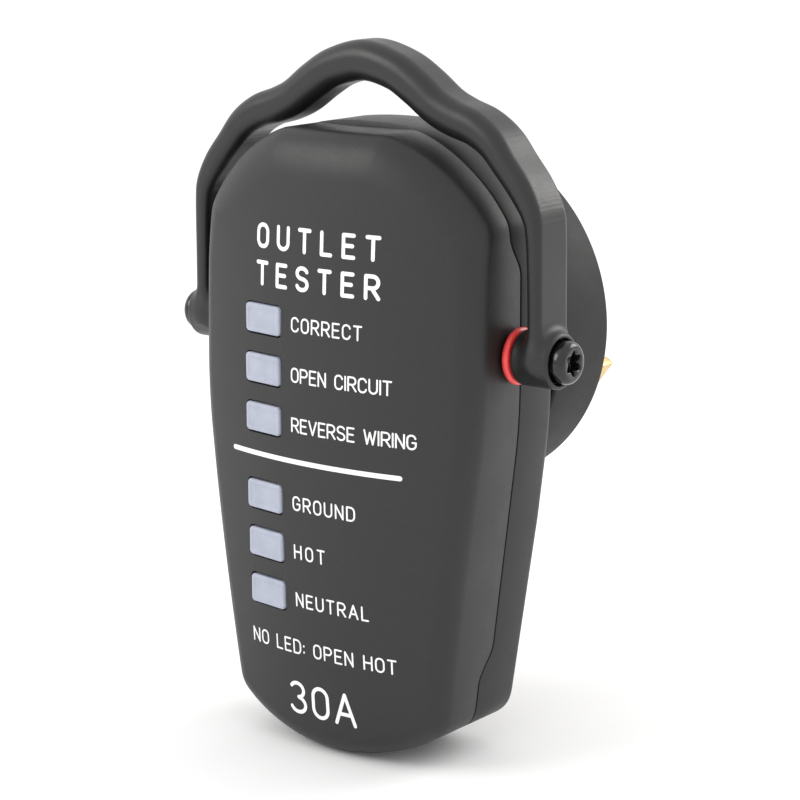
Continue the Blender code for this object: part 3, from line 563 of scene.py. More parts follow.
def build_lenses(material):
    """A moulded window: rounded rim, shallow dished panel, and a flange behind the wall."""
    stations = [(-2.6, -0.20), (-1.5, -0.19), (-1.05, -0.20), (-0.9, -0.27), (-0.75, -0.34),
                (-0.6, -0.35)]
    radius = 0.45
    stations += [(-0.6 + 0.15 + radius * sin, -0.35 + radius * (1 - cos))
                 for sin, cos in quarter_arc(5)]
    top = LENS_DEPTH - FLANGE_DEPTH
    stations += [(0.0, top), (FLANGE_BORDER, top), (FLANGE_BORDER, LENS_DEPTH)]
    for name, z in zip(LAMP_NAMES, window_places()):
        rings = window_rings(z, stations)
        place = window_frame(z)
        bm = loft(bmesh.new(), rings, start=place @ Vector((0.0, -0.18, 0.0)),
                  end=place @ Vector((0.0, LENS_DEPTH, 0.0)))
        piece("window_" + name, bm, "case", material, ("lens_" + name,), 40.0)


# ---------------------------------------------------------------- handle

def catmull_rom(a, b, c, d, t):
    return 0.5 * (2 * b + (c - a) * t + (2 * a - 5 * b + 4 * c - d) * t * t
                  + (3 * b - a - 3 * c + d) * t ** 3)


def handle_path(steps):
    """Smooth (x, height, thickness, depth) stations from the left pivot over to the right pivot."""
    right = [Vector(s) for s in HANDLE_STATIONS]
    left = [Vector((-s.x, s.y, s.z, s.w)) for s in reversed(right[1:])]
    knots = left + right
    knots = [knots[0]] + knots + [knots[-1]]
    path = []
    for i in range(1, len(knots) - 2):
        path += [catmull_rom(*knots[i - 1:i + 3], k / steps) for k in range(steps)]
    return path + [knots[-2]]


def smooth_union(a, b, blend):
    """Signed distance to two shapes joined with a fillet about `blend` wide."""
    mix = np.clip(0.5 + 0.5 * (b - a) / blend, 0.0, 1.0)
    return b + (a - b) * mix - blend * mix * (1 - mix)


def smooth_cut(a, b, blend):
    """Signed distance to `a` with `b` cut out of it, with a soft edge."""
    return -smooth_union(-a, b, blend)


def rounded_box_distance(u, v, half_u, half_v, radius):
    du = np.abs(u) - (half_u - radius)
    dv = np.abs(v) - (half_v - radius)
    outside = np.hypot(np.maximum(du, 0.0), np.maximum(dv, 0.0))
    return outside + np.minimum(np.maximum(du, dv), 0.0) - radius


class HandleField:
    """Signed distance to the finished handle, from points in millimetres."""

    def __init__(self):
        path = handle_path(14)
        self.line = np.array([(p.x, p.y) for p in path])
        self.section = np.array([(p.z / 2, p.w / 2) for p in path])

    def arm(self, x, y, z):
        """Distance to the rounded strap, measured from the nearest point of its centre line."""
        flat = np.stack((x, z), axis=1)
        out = np.empty(len(x))
        for first in range(0, len(x), 20000):
            part = slice(first, first + 20000)
            spot = flat[part]
            k = ((spot[:, None, :] - self.line[None, :, :]) ** 2).sum(axis=2).argmin(axis=1)
            nearest = np.full(len(spot), np.inf)
            size = np.empty((len(spot), 2))
            for start in (k - 1, k):
                start = np.clip(start, 0, len(self.line) - 2)
                span = self.line[start + 1] - self.line[start]
                share = ((spot - self.line[start]) * span).sum(axis=1) / (span ** 2).sum(axis=1)
                share = np.clip(share, 0.0, 1.0)[:, None]
                away = np.linalg.norm(spot - self.line[start] - span * share, axis=1)
                here = self.section[start] * (1 - share) + self.section[start + 1] * share
                closer = away < nearest
                nearest[closer] = away[closer]
                size[closer] = here[closer]
            radius = size[:, 0] * 2 * HANDLE_CORNER
            out[part] = rounded_box_distance(y[part], nearest, size[:, 1], size[:, 0], radius)
        return out

    def __call__(self, points):
        x, y, z = points[:, 0], points[:, 1] - PIVOT_Y, points[:, 2] - PIVOT_Z
        across = np.abs(x)
        radial = np.hypot(y, z)
        arm = np.maximum(self.arm(x, y, z), -(z + 1.0))
        middle = (BOSS_INNER_X + BOSS_OUTER_X) / 2
        length = BOSS_OUTER_X - BOSS_INNER_X
        boss = rounded_box_distance(across - middle, radial, length / 2, BOSS_RADIUS, 0.75)
        body = smooth_union(arm, boss, 2.6)
        recess = np.maximum(radial - HEAD_RECESS_RADIUS,
                            (BOSS_OUTER_X - HEAD_RECESS_DEPTH) - across)
        body = smooth_cut(body, recess, 0.45)
        bore = radial - PIVOT_BORE_RADIUS
        return smooth_cut(body, bore, 0.3)

    def gradient(self, points, step=0.02):
        grad = np.empty_like(points)
        for axis in range(3):
            move = np.zeros(3)
            move[axis] = step
            grad[:, axis] = (self(points + move) - self(points - move)) / (2 * step)
        length = np.linalg.norm(grad, axis=1)[:, None]
        return grad / np.maximum(length, 1e-6)


def rough_handle():
    """A plain union of arms and bosses, a start for the remesh."""
    rings = []
    path = handle_path(6)
    for i, here in enumerate(path):
        before = path[max(i - 1, 0)]
        after = path[min(i + 1, len(path) - 1)]
        along = Vector((after.x - before.x, after.y - before.y)).normalized()
        normal = Vector((-along.y, along.x))
        shape = rounded_rectangle(here.w, here.z, here.z * HANDLE_CORNER, 4)
        rings.append([Vector((here.x + normal.x * up, PIVOT_Y + across,
                              PIVOT_Z + here.y + normal.y * up)) for across, up in shape])
    bm = loft(bmesh.new(), rings)
    floor = BOSS_OUTER_X - HEAD_RECESS_DEPTH
    for side in (-1, 1):
        matrix = pivot_axis(side)
        boss = solid_of_revolution(bmesh.new(), ((BOSS_RADIUS, BOSS_INNER_X),
                                                 (BOSS_RADIUS, BOSS_OUTER_X)), 64, matrix)
        bm = boolean(bm, boss, 'UNION')
        bore = solid_of_revolution(bmesh.new(), (
            (PIVOT_BORE_RADIUS, BOSS_INNER_X - 1), (PIVOT_BORE_RADIUS, floor),
            (HEAD_RECESS_RADIUS, floor), (HEAD_RECESS_RADIUS, BOSS_OUTER_X + 1)), 64, matrix)
        bm = boolean(bm, bore, 'DIFFERENCE')
    return bm


def build_handle(material):
    """The bail: remeshed evenly, then each vertex is settled on the exact filleted surface."""
    rough = helper_object(rough_handle())
    modifier = rough.modifiers.new("even", 'REMESH')
    modifier.mode = 'VOXEL'
    modifier.voxel_size = 0.36
    bpy.context.view_layer.update()
    graph = bpy.context.evaluated_depsgraph_get()
    bm = bmesh.new()
    bm.from_mesh(rough.evaluated_get(graph).to_mesh())
    rough_mesh = rough.data
    bpy.data.objects.remove(rough, do_unlink=True)
    bpy.data.meshes.remove(rough_mesh)
    bmesh.ops.smooth_vert(bm, verts=bm.verts, factor=0.5, use_axis_x=True, use_axis_y=True,
                          use_axis_z=True)
    points = np.array([v.co[:] for v in bm.verts])
    field = HandleField()
    for _ in range(5):
        gradient = field.gradient(points)
        points -= gradient * np.clip(field(points), -0.5, 0.5)[:, None]
    normals = field.gradient(points)
    for vert, point in zip(bm.verts, points):
        vert.co = point
    bmesh.ops.recalc_face_normals(bm, faces=bm.faces)
    obj = piece("bail_handle", bm, "handle", material, ("handle",), 60.0)
    obj.data.normals_split_custom_set_from_vertices([tuple(n) for n in normals])
    return obj


def lobed_ring(matrix, radius, height, lobes, depth, segments):
    """A ring whose radius waves in and out: a six-lobed socket, or a plain circle."""
    ring = []
    for k in range(segments):
        angle = math.tau * k / segments
        wave = math.cos(lobes * angle)
        reach = radius * (1 - depth * (0.5 - 0.5 * wave) ** 0.8)
        ring.append(matrix @ Vector((reach * math.cos(angle), reach * math.sin(angle), height)))
    return ring


def build_handle_screws(material):
    """Pan-head pivot screws with a six-lobed socket."""
    segments = 96
    for word, side in (("left", -1), ("right", 1)):
        matrix = pivot_axis(side)
        seat = BOSS_OUTER_X - HEAD_RECESS_DEPTH + GAP
        top = seat + SCREW_HEAD_HEIGHT
        rings = []
        for radius, height in ((SCREW_RADIUS - 0.4, SCREW_TIP_X), (SCREW_RADIUS, SCREW_TIP_X + 0.6),
                               (SCREW_RADIUS, seat), (SCREW_HEAD_RADIUS - 0.15, seat),
                               (SCREW_HEAD_RADIUS, seat + 0.15), (SCREW_HEAD_RADIUS, seat + 2.0)):
            rings.append(lobed_ring(matrix, radius, height, 6, 0.0, segments))
        dome = 8
        for k in range(1, dome + 1):
            angle = math.pi / 2 * k / dome * 0.88
            radius = 2.85 + (SCREW_HEAD_RADIUS - 2.85) * math.cos(angle)
            height = seat + 2.0 + (top - seat - 2.05) * math.sin(angle)
            rings.append(lobed_ring(matrix, radius, height, 6, 0.0, segments))
        for radius, drop, depth in ((2.75, 0.06, 0.10), (2.62, 0.12, 0.24), (2.52, 0.3, 0.30),
                                    (2.42, 2.2, 0.32), (1.3, 2.45, 0.12), (0.3, 2.7, 0.0)):
            rings.append(lobed_ring(matrix, radius, top - drop, 6, depth, segments))
        bm = loft(bmesh.new(), rings)
        piece("pivot_screw_" + word, bm, "case", material,
              ("handle_screw_" + word,), 50.0)


def build_rings(material):
    """Red friction rings, bulged at the rim."""
    low, high = RING_X
    middle = (low + high) / 2
    half = (high - low) / 2
    profile = [(RING_BORE_RADIUS + 0.15, low)]
    for k in range(13):
        angle = -math.pi / 2 + math.pi * k / 12
        profile.append((RING_RADIUS - half + half * math.cos(angle), middle + half * math.sin(angle)))
    profile += [(RING_BORE_RADIUS + 0.15, high), (RING_BORE_RADIUS, high - 0.15),
                (RING_BORE_RADIUS, low + 0.15)]
    for word, side in (("left", -1), ("right", 1)):
        matrix = pivot_axis(side)
        bm = turned(bmesh.new(), profile, 96, matrix)
        piece("pivot_ring_" + word, bm, "case", material,
              ("friction_ring_" + word,), 40.0)


# ---------------------------------------------------------------- plug

def circle_places(radius, first_angle, count=3):
    return [(radius * math.cos(first_angle + math.tau * k / count),
             radius * math.sin(first_angle + math.tau * k / count)) for k in range(count)]


def plug_screw_places():
    return circle_places(PLUG_SCREW_CIRCLE, math.radians(30))


def build_barrel(material):
    """The plug's round housing, open to the rear, with a rolled rim."""
    front = REAR_Y + GAP
    inner = BARREL_RADIUS - BARREL_WALL
    corners = [(CABLE_HOLE_RADIUS, front), (BARREL_RADIUS, front), (BARREL_RADIUS, 0.0),
               (inner, 0.0), (inner, front + BARREL_FLOOR), (CABLE_HOLE_RADIUS, front + BARREL_FLOOR)]
    profile = soften(corners, (0.3, 0.8, 0.9, 0.5, 0.6, 0.3), 6)
    bm = turned(bmesh.new(), profile, 192, axis_matrix("+Y"))
    posts = bmesh.new()
    for x, z in plug_screw_places():
        solid_of_revolution(posts, ((3.4, front + BARREL_FLOOR / 2), (3.4, -PLATE_THICKNESS - GAP)),
                            48, axis_matrix("+Y", x, 0.0, z))
    bm = boolean(bm, posts, 'UNION')
    piece("barrel", bm, "case", material, ("plug_barrel",), 30.0)


def blade_rings(side, border, stations, corner, steps):
    """Rounded rectangles of a slanted flat contact, one for each (depth, trim)."""
    place = Matrix.Translation((side * BLADE_X, 0.0, BLADE_Z)) @ \
        Matrix.Rotation(-side * BLADE_TILT, 4, 'Y')
    rings = []
    for depth, trim in stations:
        shape = rounded_rectangle(BLADE_WIDTH + 2 * (border - trim),
                                  BLADE_THICKNESS + 2 * (border - trim),
                                  max(corner - trim * 0.5, 0.1), steps)
        rings.append([place @ Vector((x, depth, z)) for x, z in shape])
    return rings


def build_plate(material):
    """The plug face: a thick disc with slots for the contacts and three screw wells."""
    radius = BARREL_RADIUS - BARREL_WALL - GAP
    soft = 0.5
    profile = [(radius, -PLATE_THICKNESS), (radius, -soft)]
    profile += [(radius - soft * (1 - cos), -soft * (1 - sin)) for sin, cos in quarter_arc(4)]
    profile += [(radius * 0.66, 0.0), (radius * 0.33, 0.0)]
    bm = solid_of_revolution(bmesh.new(), profile, 192, axis_matrix("+Y"))
    cutter = bmesh.new()
    chamfer = 0.4
    for side in (-1, 1):
        loft(cutter, blade_rings(side, GAP, ((-PLATE_THICKNESS - 1, 0.0), (-chamfer, 0.0),
                                             (0.0, -chamfer), (1.0, -chamfer - 1.0)), 0.35, 3))
    hole = PIN_RADIUS + GAP
    solid_of_revolution(cutter, ((hole, -PLATE_THICKNESS - 1), (hole, -chamfer),
                                 (hole + chamfer, 0.0), (hole + chamfer + 1, 1.0)),
                        64, axis_matrix("+Y", z=PIN_Z))
    for x, z in plug_screw_places():
        wide = COUNTERBORE_RADIUS
        solid_of_revolution(cutter, ((PILOT_RADIUS, -PLATE_THICKNESS - 1),
                                     (PILOT_RADIUS, PLUG_COUNTERBORE_Y), (wide, PLUG_COUNTERBORE_Y),
                                     (wide, -0.3), (wide + 0.3, 0.0), (wide + 1.3, 1.0)),
                            48, axis_matrix("+Y", x, 0.0, z))
    bm = boolean(bm, cutter, 'DIFFERENCE')
    piece("plug_disc", bm, "case", material, ("plug_plate",), 30.0)


def build_contacts(material):
    """Two flat contacts with eased edges and tapered tips, and a round pin with a domed nose."""
    low = -PLATE_THICKNESS - TAIL_LENGTH
    tip = BLADE_LENGTH - BLADE_TIP
    stations = [(low, 0.15), (low + 0.2, 0.0), (tip, 0.0)]
    stations += [(tip + BLADE_TIP * sin, BLADE_TIP_TRIM * (1 - cos)) for sin, cos in quarter_arc(6)]
    for name, side in (("hot", -1), ("neutral", 1)):
        bm = loft(bmesh.new(), blade_rings(side, 0.0, stations, 0.3, 4))
        piece("contact_" + name, bm, "case", material, (name + "_blade",), 40.0)
    profile = [(PIN_RADIUS - 0.2, low), (PIN_RADIUS, low + 0.2), (PIN_RADIUS, PIN_LENGTH - PIN_NOSE)]
    profile += [(PIN_RADIUS * cos ** 0.8, PIN_LENGTH - PIN_NOSE + PIN_NOSE * sin)
                for sin, cos in quarter_arc(10)[:-1]]
    bm = solid_of_revolution(bmesh.new(), profile, 96, axis_matrix("+Y", z=PIN_Z))
    piece("contact_ground", bm, "case", material, ("ground_pin",), 40.0)


def cross_screw(name, node, x, z, head_y, radius, height, shank, length, material):
    """A small pan head with a cross recess, driven forwards from the back."""
    matrix = axis_matrix("+Y", x, 0.0, z)
    segments = 48
    rings = []
    for r, h in ((shank * 0.5, head_y - length), (shank, head_y - length + 0.8), (shank, head_y),
                 (radius - 0.1, head_y), (radius, head_y + 0.1), (radius, head_y + height * 0.35)):
        rings.append(lobed_ring(matrix, r, h, 4, 0.0, segments))
    for k in range(1, 6):
        angle = math.pi / 2 * k / 5 * 0.9
        r = radius * 0.55 + radius * 0.45 * math.cos(angle)
        rings.append(lobed_ring(matrix, r, head_y + height * (0.35 + 0.6 * math.sin(angle)), 4,
                                0.0, segments))
    top = head_y + height
    for r, drop, depth in ((0.52, 0.06, 0.45), (0.5, 0.12, 0.62), (0.42, 0.7, 0.62), (0.1, 1.1, 0.2)):
        rings.append(lobed_ring(matrix, radius * r, top - drop, 4, depth, segments))
    piece(name, loft(bmesh.new(), rings), "case", material, (node,), 40.0)


def build_small_screws(material):
    for k, (x, z) in enumerate(CASE_POSTS, 1):
        cross_screw(f"rear_screw_{k}", f"case_screw_{k}", x, z, COUNTERBORE_Y + GAP,
                    CASE_HEAD_RADIUS, 2.0, 1.25, 17.0, material)
    for k, (x, z) in enumerate(plug_screw_places(), 1):
        cross_screw(f"disc_screw_{k}", f"plug_screw_{k}", x, z, PLUG_COUNTERBORE_Y + GAP,
                    CASE_HEAD_RADIUS, 1.9, 1.25, 9.0, material)


# ---------------------------------------------------------------- printing

def arc(cx, cy, rx, ry, first, last, steps=10):
    """Points of an elliptical arc, with angles in degrees counter-clockwise from +X."""
    out = []
    for k in range(steps + 1):
        angle = math.radians(first + (last - first) * k / steps)
        out.append((cx + rx * math.cos(angle), cy + ry * math.sin(angle)))
    return out


def letters():
    """Plain single-stroke capitals one unit high: name -> (width, strokes)."""
    w = 0.62
    r = 0.26
    bowl = [(0.0, 0.46), (w - 0.27, 0.46)] + arc(w - 0.27, 0.73, 0.27, 0.27, -90, 90) + [(0.0, 1.0)]
    round_o = arc(r + 0.02, 1 - 0.32, r + 0.02, 0.32, 180, 90, 8) \
        + arc(w - r - 0.02, 1 - 0.32, r + 0.02, 0.32, 90, 0, 8) \
        + arc(w - r - 0.02, 0.32, r + 0.02, 0.32, 0, -90, 8) \
        + arc(r + 0.02, 0.32, r + 0.02, 0.32, -90, -180, 8)
    o_closed = round_o + [round_o[0]]
    c_open = arc(w - r - 0.02, 1 - 0.32, r + 0.02, 0.32, 18, 90, 8) \
        + arc(r + 0.02, 1 - 0.32, r + 0.02, 0.32, 90, 180, 8) \
        + arc(r + 0.02, 0.32, r + 0.02, 0.32, 180, 270, 8) \
        + arc(w - r - 0.02, 0.32, r + 0.02, 0.32, 270, 342, 8)
    s_curve = arc(w - 0.3, 0.76, 0.29, 0.24, 22, 90, 6) + arc(0.29, 0.76, 0.27, 0.24, 90, 250, 10) \
        + arc(w - 0.29, 0.25, 0.29, 0.25, 70, -90, 12) + arc(0.29, 0.25, 0.28, 0.25, -90, -160, 6)
    three = arc(0.27, 0.76, 0.27, 0.24, 150, -80, 14) + arc(0.28, 0.26, 0.31, 0.26, 80, -155, 14)
    return {
        "A": (0.7, [[(0.0, 0.0), (0.35, 1.0), (0.7, 0.0)], [(0.12, 0.33), (0.58, 0.33)]]),
        "C": (w, [c_open]),
        "D": (w, [[(0.0, 0.0), (0.0, 1.0), (0.3, 1.0)] + arc(0.3, 0.66, 0.32, 0.34, 90, 0)
                  + arc(0.3, 0.34, 0.32, 0.34, 0, -90) + [(0.0, 0.0)]]),
        "E": (0.54, [[(0.54, 1.0), (0.0, 1.0), (0.0, 0.0), (0.54, 0.0)], [(0.0, 0.52), (0.47, 0.52)]]),
        "G": (w + 0.02, [c_open[:-5] + arc(w - r - 0.02, 0.32, r + 0.04, 0.32, 270, 345, 6)
                         + [(w + 0.02, 0.47), (0.38, 0.47)]]),
        "H": (w, [[(0.0, 0.0), (0.0, 1.0)], [(w, 0.0), (w, 1.0)], [(0.0, 0.52), (w, 0.52)]]),
        "I": (0.0, [[(0.0, 0.0), (0.0, 1.0)]]),
        "L": (0.5, [[(0.0, 1.0), (0.0, 0.0), (0.5, 0.0)]]),
        "N": (w, [[(0.0, 0.0), (0.0, 1.0), (w, 0.0), (w, 1.0)]]),
        "O": (w, [o_closed]),
        "P": (w, [[(0.0, 0.0)] + bowl[-1:] + bowl[::-1][1:]]),
        "R": (w, [[(0.0, 0.0)] + bowl[-1:] + bowl[::-1][1:], [(0.3, 0.46), (w + 0.02, 0.0)]]),
        "S": (w, [s_curve]),
        "T": (0.6, [[(0.0, 1.0), (0.6, 1.0)], [(0.3, 1.0), (0.3, 0.0)]]),
        "U": (w, [[(0.0, 1.0), (0.0, 0.31)] + arc(0.31, 0.31, 0.31, 0.31, 180, 360, 16)
                  + [(w, 1.0)]]),
        "V": (0.66, [[(0.0, 1.0), (0.33, 0.0), (0.66, 1.0)]]),
        "W": (0.9, [[(0.0, 1.0), (0.22, 0.0), (0.45, 0.86), (0.68, 0.0), (0.9, 1.0)]]),
        "3": (0.6, [three]),
        "0": (0.58, [arc(0.29, 0.7, 0.29, 0.3, 180, 0, 14) + arc(0.29, 0.3, 0.29, 0.3, 0, -180, 14)
                     + [(0.0, 0.7)]]),
        ":": (0.0, [[(0.0, 0.16), (0.0, 0.2)], [(0.0, 0.64), (0.0, 0.68)]]),
        " ": (0.62, []),
    }


LETTERS = letters()
GLYPH_STRETCH = 1.04
SHARP_CORNER = math.radians(42)
INK_STEP = 0.0015               # keeps strokes that cross from lying in one plane


def dense_path(path):
    """The path with its points no more than about a millimetre apart."""
    points = [Vector(path[0])]
    for p in path[1:]:
        step = Vector(p) - points[-1]
        if step.length < 0.02:
            continue
        pieces = max(1, int(step.length / 0.5))
        start = points[-1]
        points += [start + step * (k + 1) / pieces for k in range(pieces)]
    return points


def stroke_sides(points, half):
    """Left and right edges of a stroke, mitred where it bends."""
    left, right = [], []
    for i, p in enumerate(points):
        before = (p - points[i - 1]).normalized() if i else (points[1] - p).normalized()
        after = (points[i + 1] - p).normalized() if i < len(points) - 1 else before
        bisector = (before + after).normalized()
        normal = Vector((-bisector.y, bisector.x))
        stretch = 1 / max(normal.dot(Vector((-after.y, after.x))), 0.45)
        left.append(p + normal * half * stretch)
        right.append(p - normal * half * stretch)
    return left, right


def round_end(centre, direction, half):
    """Points of the half circle that closes one end of a stroke."""
    across = Vector((-direction.y, direction.x))
    angles = [math.pi * k / 6 - math.pi / 2 for k in range(1, 6)]
    cap = [Vector((math.cos(a), math.sin(a))) for a in angles]
    return [centre + direction * half * c.x + across * half * c.y for c in cap]


def ribbon(bm, path, width, height):
    """A flat printed stroke with round ends, lying on the face."""
    points = dense_path(path)
    half = width / 2
    left, right = stroke_sides(points, half)
    first = (points[0] - points[1]).normalized()
    last = (points[-1] - points[-2]).normalized()

    def vert(p, lift):
        return bm.verts.new((p.x, face_y(p.x, p.y) - lift, p.y))

    def skin(lift):
        sides = [(vert(a, lift), vert(b, lift)) for a, b in zip(left, right)]
        start = [vert(p, lift) for p in round_end(points[0], first, half)]
        end = [vert(p, lift) for p in round_end(points[-1], last, half)]
        faces = [(a[0], b[0], b[1], a[1]) for a, b in zip(sides, sides[1:])]
        loop = [a for a, _ in sides] + end[::-1] + [b for _, b in reversed(sides)] + start[::-1]
        faces.append([sides[0][0], sides[0][1]] + start[::-1])
        faces.append([sides[-1][1], sides[-1][0]] + end[::-1])
        return faces, loop

    top_faces, top_loop = skin(height)
    low_faces, low_loop = skin(-INK)
    for face in top_faces:
        bm.faces.new(face)
    for face in low_faces:
        bm.faces.new(list(reversed(face)))
    count = len(top_loop)
    for i in range(count):
        j = (i + 1) % count
        bm.faces.new((top_loop[i], low_loop[i], low_loop[j], top_loop[j]))


def split_corners(line):
    """Break a stroke where it turns sharply, so that each part has its own round ends."""
    parts = [[line[0]]]
    for before, here, after in zip(line, line[1:], line[2:]):
        parts[-1].append(here)
        into = Vector(here) - Vector(before)
        out = Vector(after) - Vector(here)
        if into.length > 0.0 and out.length > 0.0 and into.angle(out) > SHARP_CORNER:
            parts.append([here])
    parts[-1].append(line[-1])
    return parts


def text_strokes(words, cap, width, spacing):
    """Strokes of a line of text with its left end at 0, and its full width."""
    strokes = []
    x = width / 2
    for letter in words:
        advance, lines = LETTERS[letter]
        for line in lines:
            strokes += split_corners([(x + px * GLYPH_STRETCH * (cap - width),
                                       width / 2 + py * (cap - width)) for px, py in line])
        x += advance * GLYPH_STRETCH * (cap - width) + (spacing if letter != " " else 0.0)
    return strokes, x - spacing + width / 2


def print_text(name, words, material, cap, stroke, base, left=None, right=None, centre=None):
    """Print a line of text on the face, fitted between left and right by its letter spacing."""
    spacing = stroke + 0.25 * cap
    if left is not None and right is not None:
        for _ in range(12):
            _, total = text_strokes(words, cap, stroke, spacing)
            spacing += (right - left - total) / max(len(words) - 1, 1)
    strokes, total = text_strokes(words, cap, stroke, spacing)
    start = left if left is not None else centre - total / 2
    bm = bmesh.new()
    for k, line in enumerate(strokes):
        ribbon(bm, [(start + x, base + z) for x, z in line], stroke, INK + INK_STEP * (k % 7))
    return piece(name, bm, "case", material, (), 20.0)


def print_divider(material):
    """The curved rule that parts the two groups of lamps."""
    bm = bmesh.new()
    path = [(RULE_START_X + RULE_LENGTH * k / 60, RULE_Z) for k in range(61)]
    ribbon(bm, path, RULE_STROKE, INK)
    piece("print_rule", bm, "case", material, (), 20.0)


def build_printing(material):
    rows = window_places()
    legends = (("CORRECT", 11.75), ("OPEN CIRCUIT", 18.35), ("REVERSE WIRING", 23.5),
               ("GROUND", 10.05), ("HOT", 2.5), ("NEUTRAL", 12.55))
    for (words, right), z in zip(legends, rows):
        name = "print_" + words.lower().replace(" ", "_")
        print_text(name, words, material, LEGEND_CAP, LEGEND_STROKE, z - LEGEND_CAP / 2,
                   LEGEND_X, right)
    print_text("print_no_led", "NO LED: OPEN HOT", material, 3.1, LEGEND_STROKE, -64.0, -18.9, 18.3)
    print_text("print_rating", "30A", material, 7.0, 0.78, -77.0, -8.7, 8.5)
    for name, words, base in (("print_title_1", "OUTLET", 17.6), ("print_title_2", "TESTER", 10.2)):
        print_text(name, words, material, TITLE_CAP, TITLE_STROKE, base, -TITLE_REACH, TITLE_REACH)
    print_divider(material)


# ---------------------------------------------------------------- materials

class Nodes:
    """Short way to write a material's node tree around one Principled shader."""

    def __init__(self, name):
        self.material = bpy.data.materials.new(name)
        self.material.use_nodes = True
        self.tree = self.material.node_tree
        self.shader = self.tree.nodes["Principled BSDF"]
        self.place = self.tree.nodes.new("ShaderNodeTexCoord").outputs["Object"]

    def node(self, kind, **settings):
        made = self.tree.nodes.new(kind)
        for key, value in settings.items():
            setattr(made, key, value)
        return made

    def put(self, socket, value):
        if isinstance(value, bpy.types.NodeSocket):
            self.tree.links.new(value, socket)
        else:
            socket.default_value = value

    def set(self, **values):
        for key, value in values.items():
            self.put(self.shader.inputs[key.replace("_", " ")], value)

    def stretched(self, x, y, z):
        """Coordinates scaled unevenly, for brushed and drawn surfaces."""
        mapping = self.node("ShaderNodeMapping")
        self.put(mapping.inputs["Vector"], self.place)
        mapping.inputs["Scale"].default_value = (x, y, z)
        return mapping.outputs["Vector"]

    def noise(self, size, detail=3.0, rough=0.55, vector=None, distortion=0.0):
        """Noise with features about `size` millimetres across."""
        made = self.node("ShaderNodeTexNoise")
        self.put(made.inputs["Vector"], vector or self.place)
        made.inputs["Scale"].default_value = 1.0 / (size * MM)
        made.inputs["Detail"].default_value = detail
        made.inputs["Roughness"].default_value = rough
        made.inputs["Distortion"].default_value = distortion
        return made.outputs["Fac"]

    def span(self, value, low, high, out_low=0.0, out_high=1.0):
        made = self.node("ShaderNodeMapRange")
        self.put(made.inputs["Value"], value)
        for key, number in (("From Min", low), ("From Max", high),
                            ("To Min", out_low), ("To Max", out_high)):
            made.inputs[key].default_value = number
        return made.outputs["Result"]

    def math(self, operation, a, b=0.0):
        made = self.node("ShaderNodeMath", operation=operation)
        self.put(made.inputs[0], a)
        self.put(made.inputs[1], b)
        return made.outputs[0]

    def ramp(self, value, stops):
        """Colour ramp from (position, colour) stops."""
        made = self.node("ShaderNodeValToRGB")
        self.put(made.inputs["Fac"], value)
        elements = made.color_ramp.elements
        while len(elements) < len(stops):
            elements.new(0.5)
        for element, (position, colour) in zip(elements, stops):
            element.position = position
            element.color = (*colour, 1.0)
        return made.outputs["Color"]

    def mix(self, share, a, b):
        made = self.node("ShaderNodeMix", data_type='RGBA')
        self.put(made.inputs["Factor"], share)
        for socket, value in ((made.inputs[6], a), (made.inputs[7], b)):
            self.put(socket, value if isinstance(value, bpy.types.NodeSocket) else (*value, 1.0))
        return made.outputs[2]

    def bump(self, height, distance, strength=1.0, normal=None):
        """Bump from a height between 0 and 1, `distance` millimetres deep."""
        made = self.node("ShaderNodeBump")
        made.inputs["Distance"].default_value = distance * MM
        made.inputs["Strength"].default_value = strength
        self.put(made.inputs["Height"], height)
        if normal is not None:
            self.put(made.inputs["Normal"], normal)
        return made.outputs["Normal"]


def grey(value, tint=0.0):
    return (value, value * (1 + tint * 0.4), value * (1 + tint))


def black_plastic(name, base, rough, grain_size, grain_depth, speckle=0.5, specular=0.5):
    """Moulded black plastic with a fine spark-eroded grain, handling marks and dust."""
    n = Nodes(name)
    grain = n.noise(grain_size, 2.0, 0.6)
    fine = n.noise(grain_size * 0.45, 1.0, 0.5)
    broad = n.noise(18.0, 3.0, 0.5)
    smudge = n.noise(6.0, 4.0, 0.65, distortion=0.6)
    relief = n.math('ADD', grain, n.math('MULTIPLY', fine, 0.5))
    dark, light = grey(base * (1 - 0.45 * speckle)), grey(base * (1 + 0.75 * speckle))
    colour = n.ramp(grain, ((0.32, dark), (0.55, grey(base)), (0.72, light)))
    dust = n.span(smudge, 0.5, 0.85, 0.0, 0.10)
    colour = n.mix(dust, colour, grey(base * 2.2))
    shade = n.span(broad, 0.3, 0.7, -0.03, 0.03)
    roughness = n.math('ADD', n.span(grain, 0.3, 0.7, rough - 0.05, rough + 0.06), shade)
    roughness = n.math('ADD', roughness, n.span(smudge, 0.35, 0.75, -0.02, 0.04))
    n.set(Base_Color=colour, Roughness=roughness, Specular_IOR_Level=specular,
          Normal=n.bump(relief, grain_depth))
    return n.material


def clear_plastic(name, cloud_size, fine_size, colours, rough, glow, coat, depth):
    """Cloudy translucent plastic: `glow` is (weight, radius, scale) of the scattering."""
    n = Nodes(name)
    cloud = n.noise(cloud_size, 3.0, 0.5)
    fine = n.noise(fine_size, 2.0, 0.5)
    n.set(Base_Color=n.ramp(cloud, colours), Roughness=n.span(fine, 0.3, 0.7, *rough),
          Subsurface_Weight=glow[0], Subsurface_Radius=glow[1], Subsurface_Scale=glow[2],
          Coat_Weight=coat[0], Coat_Roughness=coat[1], Normal=n.bump(fine, depth))
    return n.material


def lens_plastic(name):
    """Milky bluish white."""
    colours = ((0.3, (0.325, 0.35, 0.43)), (0.5, (0.355, 0.38, 0.46)), (0.72, (0.39, 0.415, 0.49)))
    return clear_plastic(name, 3.5, 0.25, colours, (0.3, 0.42), (0.25, (0.9, 0.95, 1.1), 0.0012),
                         (0.15, 0.2), 0.01)


